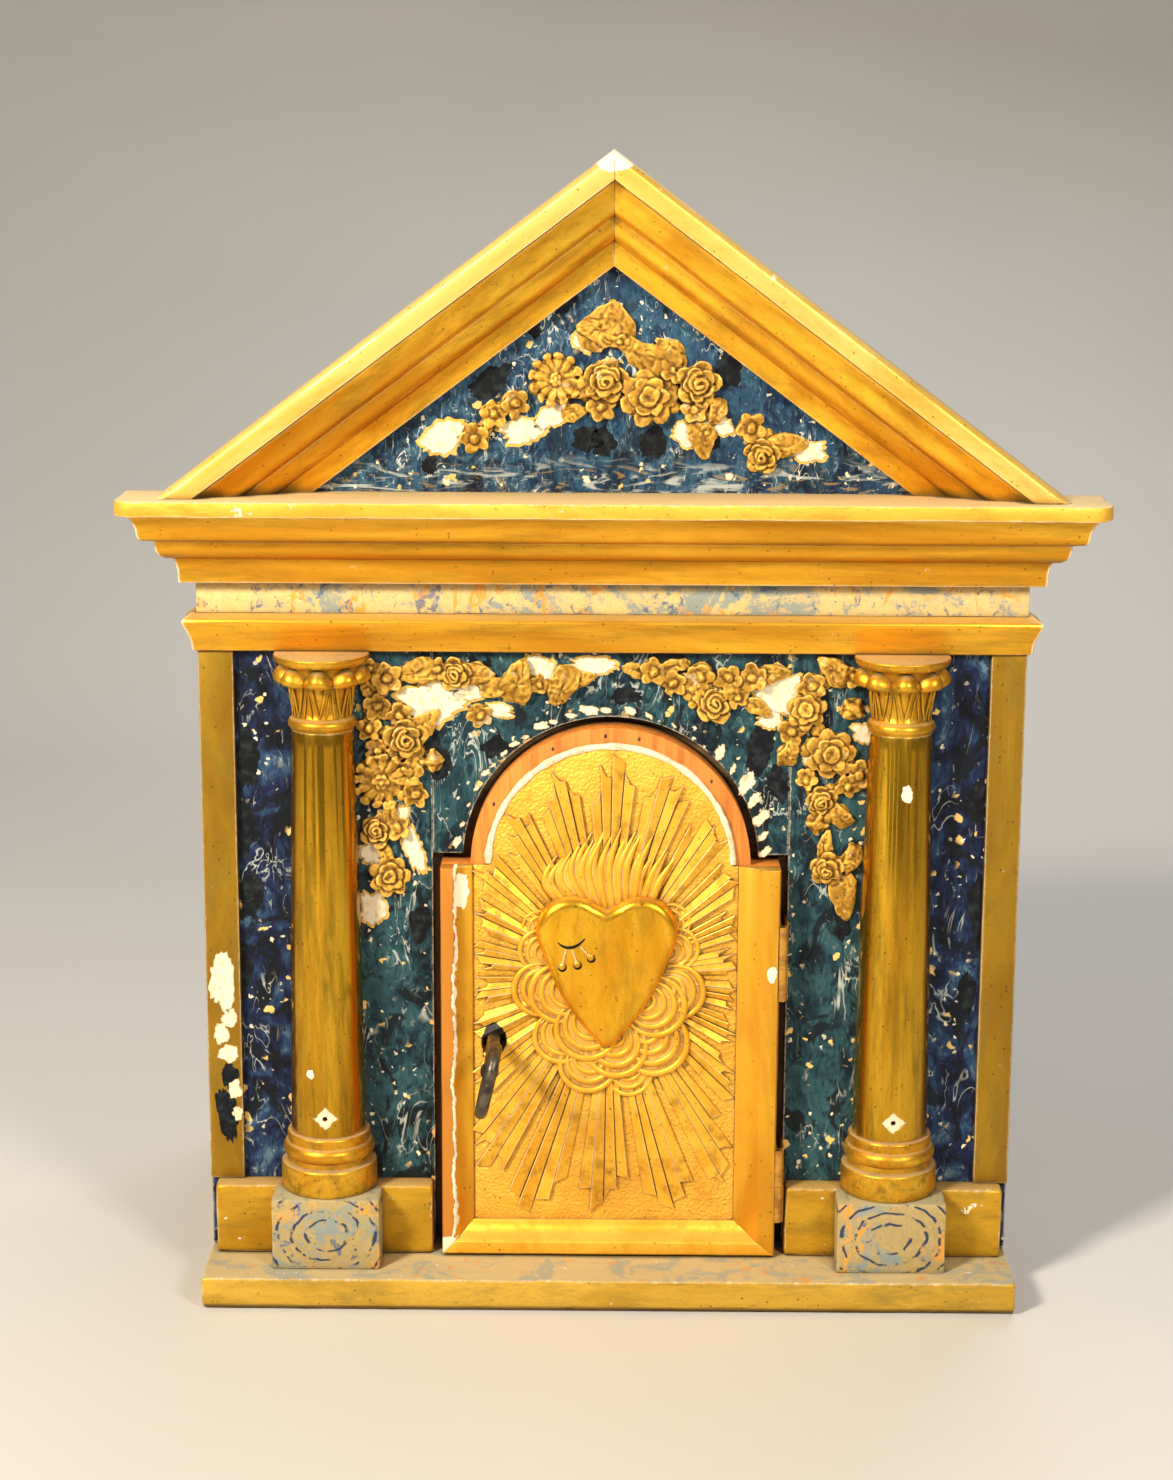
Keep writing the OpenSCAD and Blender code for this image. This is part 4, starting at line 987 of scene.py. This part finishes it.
def make_garlands():
    garland("pediment_garland", TYMPANUM, 3, [
        ("daisy", -35, 580, 15, 8), ("rose", -5, 580, 13, 9), ("blossom", -8, 563, 9, 6),
        ("leaf", -8, 609, 10, 6), ("blossom", 4, 603, 5, 7), ("peony", 21, 569, 16, 10),
        ("rose", 51, 578, 13, 9), ("blossom", 36, 585, 8, 7), ("blossom", 50, 562, 8, 6),
        ("blossom", -73, 559, 8.5, 7), ("blossom", -60, 566, 8.5, 7), ("blossom", -84, 545, 9, 7),
        ("rose", 91, 535, 10.5, 8), ("blossom", 83, 551, 9, 7), ("leaf", 100, 541, 8, 6),
        ("leaf", -18, 575, 8, 6), ("leaf", 62, 561, 6, 5), ("blossom", 57, 548, 5, 5)],
        [(-9, 612, 17, 10, 62), (3, 615, 15, 8, 112), (27, 593, 19, 9, 158), (12, 598, 15, 7, 140),
         (54, 544, 13, 8, -75), (34, 600, 10, 5, 150), (-24, 560, 9, 5, 20), (107, 541, 12, 7, 0)])
    garland("garland_left", PANEL, 5, [
        ("rose", -128, 357, 13, 9), ("daisy", -144, 332, 17, 9), ("blossom", -139, 395, 9.5, 7),
        ("blossom", -146, 378, 9, 6), ("leaf", -121, 400, 9, 6), ("rose", -96, 399, 10, 7),
        ("blossom", -150, 402, 6, 5), ("blossom", -108, 401, 7, 6), ("leaf", -84, 399, 8, 5),
        ("leaf", -58, 394, 11, 6), ("blossom", -82, 373, 8, 5), ("leaf", -31, 392, 10, 7),
        ("blossom", -45, 392, 6, 5), ("blossom", -132, 374, 8, 7), ("blossom", -150, 364, 8, 6),
        ("rose", -146, 298, 10, 7), ("blossom", -134, 300, 8, 6), ("peony", -139, 269, 12, 8),
        ("blossom", -126, 336, 9, 6), ("bud", -112, 343, 8, 5), ("blossom", -122, 322, 8, 5),
        ("blossom", -145, 350, 8, 6)],
        [(-70, 391, 14, 6, 12), (-115, 368, 12, 7, 40), (-150, 390, 9, 6, 120),
         (-20, 396, 11, 6, 8), (-140, 283, 9, 4, -60), (-138, 311, 9, 4, 100)])
    garland("garland_right", PANEL, 8, [
        ("blossom", 25, 401, 8.5, 6), ("blossom", 39, 394, 8, 6), ("blossom", 55, 399, 9, 7),
        ("blossom", 72, 397, 8.5, 7), ("rose", 63, 381, 12, 8), ("blossom", 88, 397, 9, 6),
        ("leaf", 137, 402, 9, 6), ("peony", 121, 377, 11.5, 8), ("bud", 149, 378, 8, 6),
        ("blossom", 112, 364, 8.5, 6), ("peony", 136, 350, 14.5, 9), ("blossom", 155, 337, 9.5, 7),
        ("rose", 131, 320, 9.5, 7), ("bud", 129, 305, 7.5, 6), ("leaf", 143, 311, 7, 5),
        ("rose", 136, 276, 10.5, 8), ("leaf", 151, 282, 7, 6), ("blossom", 147, 330, 8, 6),
        ("blossom", 122, 333, 7, 6), ("blossom", 52, 385, 7, 6), ("blossom", 78, 385, 7, 6),
        ("blossom", 150, 398, 7, 6), ("blossom", 124, 392, 9, 6), ("leaf", 110, 350, 7, 5)],
        [(146, 256, 16, 8, -80), (100, 400, 12, 6, 5), (14, 402, 9, 5, 170), (92, 378, 10, 5, -30),
         (134, 291, 10, 5, 80), (150, 265, 9, 5, -70), (40, 405, 10, 4, 10)])


def add_patch(bm, x, z, width, height, turn, depth, thick, rng):
    """An irregular flake of ground with a bevelled rim."""
    flake = bmesh.new()
    ring = bmesh.ops.create_circle(flake, cap_ends=True, segments=56, radius=1.0)["verts"]
    key = rng.uniform(0, 90)
    for v in ring:
        ragged = 1 + 0.42 * noise.noise(Vector((v.co.x * 1.3, v.co.y * 1.3, key)))
        ragged += 0.22 * noise.noise(Vector((v.co.x * 4, v.co.y * 4, key)))
        ragged += 0.12 * noise.noise(Vector((v.co.x * 11, v.co.y * 11, key)))
        v.co = Vector((v.co.x * width / 2 * ragged, v.co.y * height / 2 * ragged, 0))
    top = raise_faces(flake, flake.faces[:])
    bmesh.ops.translate(flake, vec=(0, 0, thick), verts=top)
    bevel(flake, rim_of(top), thick * 0.6)
    join(bm, flake, facing(x, z, depth, radians(turn)))


def patches(name, finish, slot, depth, thick, seed, spots, body="root"):
    """A set of flakes; each spot is (x, z, width, height, turn)."""
    rng = random.Random(seed)
    bm = bmesh.new()
    for x, z, width, height, turn in spots:
        add_patch(bm, x, z, width, height, turn, depth + 0.1, thick, rng)
    bmesh.ops.recalc_face_normals(bm, faces=bm.faces)
    finish_piece(bm, name, finish, body)


def make_losses():
    """Gesso, glue and bare wood where ornament, pegs or leaf have gone."""
    tympanum = [(-104, 543, 27, 17, 25), (-56, 549, 27, 15, 12), (-38, 557, 22, 12, 38),
                (-16, 604, 16, 15, 0), (44, 546, 15, 13, -30), (67, 552, 13, 10, -40),
                (118, 537, 24, 13, -6)]
    panel = [(-110, 381, 36, 25, 0), (-90, 389, 24, 17, 20), (-68, 375, 16, 9, -10),
             (-43, 402, 21, 15, -35), (-12, 404, 31, 11, 3), (-132, 303, 12, 20, -8),
             (-124, 286, 11, 26, 14), (-149, 284, 14, 16, 0), (-150, 247, 17, 23, 0),
             (105, 388, 32, 28, 0), (98, 372, 17, 12, -15), (156, 362, 12, 12, 0),
             (124, 346, 9, 9, 0)]
    rim = 1.12
    patches("gesso_tympanum", "gesso", "carved_gold", TYMPANUM, 0.9, 11, tympanum)
    patches("gesso_panel", "gesso", "carved_gold", PANEL, 0.9, 12, panel)
    patches("gold_rim_tympanum", "cast", "carved_gold", TYMPANUM, 0.45, 11,
            [(x, z, w * rim + 1, h * rim + 1, t) for x, z, w, h, t in tympanum])
    patches("gold_rim_panel", "cast", "carved_gold", PANEL, 0.45, 12,
            [(x, z, w * rim + 1, h * rim + 1, t) for x, z, w, h, t in panel])
    patches("glue_tympanum", "dark_patch_and_shade", "blue_marbling", TYMPANUM, 0.3, 13, [
        (-75, 578, 28, 15, 35), (-16, 543, 20, 16, 0), (-6, 541, 16, 18, 20), (24, 541, 17, 20, 0),
        (70, 585, 17, 22, -15), (-48, 610, 9, 11, 0), (62, 545, 8, 14, 0), (-112, 527, 11, 12, 0),
        (-30, 625, 16, 9, 40)])
    pegs = [(-102, 517), (-16, 519), (71, 521)]
    patches("filled_peg_holes", "gesso", "blue_marbling", TYMPANUM, 0.35, 18,
            [(x, z, 5, 5, 0) for x, z in pegs])
    patches("glue_panel", "dark_patch_and_shade", "blue_marbling", PANEL, 0.3, 14, [
        (-93, 404, 6, 6, 0), (-86, 407, 6, 5, 0), (-77, 405, 6, 6, 0), (-110, 346, 18, 30, 20),
        (92, 352, 16, 30, -20), (104, 330, 14, 22, 10), (8, 385, 18, 10, 0), (-72, 352, 18, 14, 30),
        (-120, 236, 12, 24, 0), (146, 238, 11, 22, 0), (-228, 345, 17, 40, 4),
        (-231, 297, 15, 34, -6), (-226, 255, 14, 30, 0), (229, 318, 12, 32, 0), (232, 250, 13, 46, 0),
        (226, 196, 10, 30, 0), (-233, 205, 12, 30, 0)])
    flecks = [(173, 9), (166, 5), (158, 4), (151, 5), (144, 7), (140, 4), (134, 6), (129, 7), (124, 5),
              (117, 10), (112, 6), (105, 7), (98, 12), (92, 8), (83, 9), (76, 6), (66, 4), (46, 12),
              (38, 7), (31, 16), (24, 12), (17, 14), (10, 8), (4, 10)]
    edge = []
    for turn, size in flecks:
        x, z = arc(0, ARCH_Z, ARCH_R + 18.5 + size * 0.28, turn, turn, 1)[0]
        edge.append((x, z, size * 0.5, size * 0.95, turn - 90 + (30 if turn < 60 else 70)))
    patches("gesso_arch_edge", "gesso", "carved_gold", PANEL, 0.35, 17, edge)
    strip_x = 245.0
    patches("gesso_strip", "gesso", "gold_leaf", 0.0, 0.5, 15, [
        (-strip_x, 199, 17, 38, 0), (-strip_x + 4, 176, 10, 13, 0), (-strip_x - 2, 165, 9, 13, 0),
        (-strip_x + 3, 152, 12, 11, 0), (-strip_x + 6, 128, 9, 12, 0), (-strip_x + 7, 112, 7, 10, 0)])
    patches("bare_wood_strip", "dark_patch_and_shade", "old_wood", 0.0, 0.45, 16, [
        (-strip_x + 3, 138, 10, 20, 0), (-strip_x + 1, 112, 12, 38, 6)])


# ---------------------------------------------------------------- door relief

def heart_outline():
    """Right half from the dip to the point, then the left half back, about the heart's middle."""
    dip = (0, LOBE_Z + sqrt(LOBE_R ** 2 - LOBE_X ** 2) + 6)
    lobe = arc(LOBE_X, LOBE_Z, LOBE_R, 128, -32, 22)
    low = lobe[-1]
    toe_r = 7.5
    side = []
    steps = 11
    for i in range(1, steps):
        t = i / steps
        bulge = 4.2 * sin(pi * t)
        side.append((low[0] * (1 - t) + 6.6 * t + bulge * 0.8,
                     low[1] * (1 - t) + (HEART_LOW + 3.7) * t - bulge * 0.6))
    toe = arc(0, HEART_LOW + toe_r, toe_r, -30, -90, 5)
    right = [dip] + lobe + side + toe
    return right + [(-x, z) for x, z in reversed(right[1:-1])]


def make_heart():
    """A domed heart with a well rounded rim."""
    bm = bmesh.new()
    face = bm.faces.new([bm.verts.new((x + HEART_LEAN, FIELD, z)) for x, z in heart_outline()])
    face.normal_update()
    top = raise_faces(bm, [face])
    bmesh.ops.translate(bm, vec=(0, HEART_FRONT - FIELD, 0), verts=top)
    bevel(bm, rim_of(top), 6.5, segments=7, clamp=True)
    bmesh.ops.recalc_face_normals(bm, faces=bm.faces)
    finish_piece(bm, "heart", "heart_leaf", "door", ["sacred_heart"], crease=40)


def make_wound():
    """A curved cut in the heart with three drops hanging from it, the cut and the drops' shadows painted
    dark.
    """
    front = HEART_FRONT - 0.1
    bm = bmesh.new()
    # The cut is a dark strand on the heart's face: painted shade of the cut
    add_strands(bm, [[(-32.5, front, 232.4, 0.3), (-29.5, front, 229.2, 0.9), (-24, front, 228.6, 1.1),
                      (-19.5, front, 230.6, 1.0), (-15.5, front, 235.2, 0.3)]], flatten=0.5, depth=front)
    finish_piece(bm, "heart_wound", "dark_patch_and_shade", "door")
    bm = bmesh.new()
    drops = ((-30, 217, -27.5, 228), (-20.5, 218.5, -23.5, 227.5), (-12, 223, -18.5, 229.5))
    for x, z, top_x, top_z in drops:
        add_strands(bm, [[(top_x, front, top_z, 0.45), ((x + top_x) / 2, front - 0.3, (z + top_z) / 2, 0.5),
                          (x, front - 0.6, z, 0.7)]])
        add_blob(bm, (x, front - 0.4, z), (2.2, 1.4, 2.3))
    finish_piece(bm, "heart_drops", "heart_leaf", "door")
    # Dark discs just behind the drops: their painted shadows on the heart
    bm = bmesh.new()
    for x, z in ((-30, 216.2), (-20.5, 217.7), (-12, 222.2)):
        add_blob(bm, (x + 0.3, front + 0.25, z), (3.1, 0.5, 3.1))
    finish_piece(bm, "heart_drop_shadows", "dark_patch_and_shade", "door")


def make_flames():
    """Tongues of flame rising from the heart in long S curves."""
    rng = random.Random(21)
    paths = []
    tongues = 24
    for i in range(tongues):
        t = i / (tongues - 1) * 2 - 1
        foot_x = -2 + 25 * t
        top_x = -1 + 36 * t + rng.uniform(-1.5, 1.5)
        top_z = 303 - 18 * abs(t) ** 2.2 + rng.uniform(-5, 3)
        swing = 6 + rng.uniform(-1, 1.5)
        foot = LOBE_Z + 14 + 5 * (1 - abs(abs(t) * 2 - 1))
        rise = top_z - foot
        depth = FIELD - 1.2 - 1.0 * (i % 2)
        paths.append([
            (foot_x, depth, foot, 2.2),
            (foot_x + (top_x - foot_x) * 0.55 - swing * 0.4, depth - 0.8, foot + rise * 0.26, 3.0),
            (top_x - swing, depth - 0.8, foot + rise * 0.52, 2.6),
            (top_x - swing * 0.1, depth - 0.3, foot + rise * 0.78, 1.8),
            (top_x + swing * 0.65, depth + 0.2, top_z, 0.3)])
    bm = bmesh.new()
    add_strands(bm, paths, sides=3, smoothness=6)
    plane_flat(bm, FIELD + 0.5)
    finish_piece(bm, "flames", "door_leaf", "door", crease=60)


# Cloud puffs as (x, z, radius, lift): the outer row first, the inner row lies over it
PUFFS = [(-44, 239, 11.5, 0.0), (-43, 224, 14.5, 0.6), (-43.5, 199, 18, 0.9), (-30.5, 168, 18, 0.7),
         (-13.5, 150, 19, 1.2), (12.5, 143.5, 15, 0.2), (28, 165, 22.5, 1.0), (41.5, 198, 18.5, 1.2),
         (42, 226, 14, 0.5), (38, 243, 12.5, 0.0), (-31, 197, 20, 2.3), (-14, 174, 21, 2.9),
         (4, 162, 20.5, 2.2), (28, 189, 20.5, 2.6)]


def make_clouds():
    """Overlapping cloud puffs, each a low dome carved with nested crescents."""
    bm = bmesh.new()
    for x, z, r, lift in PUFFS:
        lean = atan2(z - CLOUD_CENTRE[1], x - CLOUD_CENTRE[0])
        place = facing(x, z, FIELD - lift, lean)
        add_blob(bm, (0, 0, -0.6), (r * 0.97, r * 0.97, 2.9), place, 36, 12)
        crescents = 4
        arcs = []
        for k in range(crescents):
            share = 1 - k * 0.23
            back = -(1 - share) * r * 0.5
            thick = r * 0.118 * (0.75 + 0.25 * share)
            spread = 118
            path = []
            for i in range(13):
                swing = radians(-spread + 2 * spread * i / 12)
                ease = 1 - 0.55 * abs(i / 6 - 1) ** 2
                height = 1.15 + 1.25 * (1 - share) - 0.5 * (1 - ease)
                point = place @ Vector((back + share * r * 0.95 * cos(swing),
                                        share * r * 0.95 * sin(swing), height))
                path.append((*point, thick * ease))
            arcs.append(path)
        add_strands(bm, arcs, sides=2, smoothness=3)
    plane_flat(bm, FIELD + 0.3)
    finish_piece(bm, "clouds", "door_leaf", "door", ["cloud_wreath"], crease=60)


def ray_limit(angle):
    """Distance from the ray centre to the frame or the arch."""
    x, z = RAY_CENTRE
    left, _, low = (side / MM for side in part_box("door_field")[0])
    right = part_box("door_field")[1].x / MM
    reach = (right - 1 - x) / cos(angle) if cos(angle) > 0 else (left + 1 - x) / cos(angle)
    if sin(angle) < 0:
        return min(reach, (low + 3 - z) / sin(angle))
    if z + reach * sin(angle) < ARCH_Z:
        return reach
    gap = ARCH_Z - z
    along = gap * sin(angle) + x * -cos(angle)
    across = gap * cos(angle) + x * sin(angle)
    r = ARCH_R - 2
    return min(reach, along + sqrt(max(0.0, r * r - across * across)))


def add_ray(bm, angle, low, high, width, tip, thick, tilt):
    """A flat slat along local x with its end cut on the skew, one side of it higher than the other."""
    end_w = width * high
    foot_w = width * low
    drawn = [(low, -foot_w / 2), (high - max(0, tip), -end_w / 2), (high - max(0, -tip), end_w / 2),
             (low, foot_w / 2)]
    if abs(tip) > 5:
        drawn.insert(2, (high - abs(tip) * 0.9, -end_w * 0.04))
    slat = bmesh.new()
    face = slat.faces.new([slat.verts.new((x, y, 0)) for x, y in drawn])
    top = raise_faces(slat, [face])
    for v in top:
        v.co.z += thick + tilt * (1 if v.co.y > 0 else -1)
    bevel(slat, rim_of(top), 0.5)
    join(bm, slat, facing(*RAY_CENTRE, FIELD + 0.3, angle))


def make_rays():
    """Sheaves of rays: five slats to a sheaf, the first of each cut short."""
    rng = random.Random(4)
    bm = bmesh.new()
    sheaves = 22
    slats = 5
    step = 2 * pi / (sheaves * slats)
    reaches = (0.5, 0.9, 0.98, 0.95, 0.86)
    for i in range(sheaves * slats):
        angle = radians(-90.5) + (i - 2.6) * step
        first = i % slats == 0
        reach = reaches[i % slats] + rng.uniform(-0.03, 0.02)
        high = ray_limit(angle) * min(reach, 0.985)
        if abs(cos(angle)) > 0.6 and not first:
            high = ray_limit(angle) * min(1.0, reach + 0.1)
        tip = rng.choice((-1, 1)) * rng.uniform(2, 9)
        thick = 0.8 if first else 2.0 + rng.uniform(0, 0.8)
        tilt = 0.1 if first else rng.choice((-1, 1)) * rng.uniform(0.5, 1.0)
        add_ray(bm, angle, 34, high, step * (0.8 if first else 0.97), tip, thick, tilt)
    bmesh.ops.recalc_face_normals(bm, faces=bm.faces)
    finish_piece(bm, "rays", "ray_leaf", "door", crease=20)


def make_door_edges():
    """The gesso line round the arched field, and the nail heads in the bare wood round it."""
    bm = bmesh.new()
    paths = [[(x, FIELD + 0.7, z, 2.1 + 1.3 * noise.noise(Vector((x / 6, z / 6, 0))))
              for x, z in arc(0, ARCH_Z, ARCH_R + 0.3, 1, 179, 90)]]
    add_strands(bm, paths, smoothness=2)
    finish_piece(bm, "arch_gesso_line", "gesso", "door")
    bm = bmesh.new()
    for turn in (92.5, 78.0, 116.0, 41.0, 152.0):
        x, z = arc(0, ARCH_Z, NAIL_RING, turn, turn, 1)[0]
        add_blob(bm, (x, DOOR_FACE - 0.1, z), (0.9, 0.35, 1.4))
    finish_piece(bm, "door_nails", "iron", "door")


# ---------------------------------------------------------------- assembling

finishes = {}


def dress_boards():
    """Boards and mouldings that keep their CAD shape, with worn arrises."""
    eased("base_board", "leaf_grimy", "gilded_base", width=1.6, uneven=0.5)
    for side in ("left", "right"):
        eased(f"plinth_block_{side}", "leaf_block", "gold_leaf", width=2.2, uneven=0.5)
        eased(f"pedestal_{side}", "pedestal_cream", "cream_marbling", width=1.0, uneven=0.4)
        eased(f"side_strip_{side}", "leaf_strip", "gold_leaf", width=0.7)
        eased(f"panel_stile_{side}", "panel_blue", "blue_marbling", width=0.8)
        eased(f"raking_cap_{side}", f"leaf_cap_{side}", "gold_leaf", width=0.8)
        eased(f"raking_moulding_{side}", f"leaf_rake_{side}", "gold_leaf", width=0.3, uneven=0.12)
        eased(f"door_stile_{side}", f"door_stile_{side}", "door_gold", width=0.5, body="door", uneven=0.15)
    eased("arch_head_board", "panel_blue", "blue_marbling", width=0.8)
    eased("pediment_board", "tympanum_blue", "blue_marbling", width=0.6)
    for run in ("front", "returns"):
        eased(f"architrave_{run}", "leaf_level", "gold_leaf", width=0.5)
    eased("frieze_board", "frieze_cream", "cream_marbling", width=0.4)
    for run in ("front", "returns"):
        eased(f"cornice_moulding_{run}", "leaf_level", "gold_leaf", width=0.3, uneven=0.15)
    eased("cornice_top_board", "leaf_dusty", "gold_leaf", width=1.4, uneven=0.4)
    eased("door_board", "door_wood", "bare_door_wood", width=0.6, body="door", uneven=0.15)
    eased("door_field", "door_ground", "door_gold", width=0.3, body="door", uneven=0.1)
    eased("door_rail_bottom", "door_leaf", "door_gold", width=0.5, body="door", uneven=0.15)


CARRIED = {
    "old_wood": ["cabinet_side_left", "cabinet_side_right", "cabinet_back", "rebate_stile_left",
                 "rebate_stile_right", "pediment_braces"],
    "old_wood_level": ["rebate_arch"],
    "old_wood_deep": ["cabinet_floor", "cabinet_top"],
    "iron": ["hinge_pins", "hinge_screws_frame", "hinge_screws_door", "lock_case", "lock_cover",
             "lock_screws", "lock_bolt"],
    "brass": ["lock_curtain", "strike_plate"],
    "hinge": ["hinge_leaf_frame_upper", "hinge_leaf_frame_lower", "hinge_leaf_door_upper",
              "hinge_leaf_door_lower"],
    "key_iron": ["key"],
}


def dress_carried():
    """CAD nodes that show as they are take their finish in their own slots."""
    for finish, nodes in CARRIED.items():
        for node in nodes:
            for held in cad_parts[node].material_slots:
                held.material = finishes[finish]


make_camera()
make_lights()
make_floor()
finishes.update(make_finishes())
dress_boards()
dress_carried()
for way, hand in ((-1, "left"), (1, "right")):
    column_base(way, f"column_base_{hand}")
    eased(f"column_shaft_{hand}", "leaf_shaft", "gold_leaf", width=0.4, uneven=0.12)
    capital(way, f"capital_{hand}")
make_garlands()
make_losses()
make_rays()
make_clouds()
make_heart()
make_wound()
make_flames()
make_door_edges()
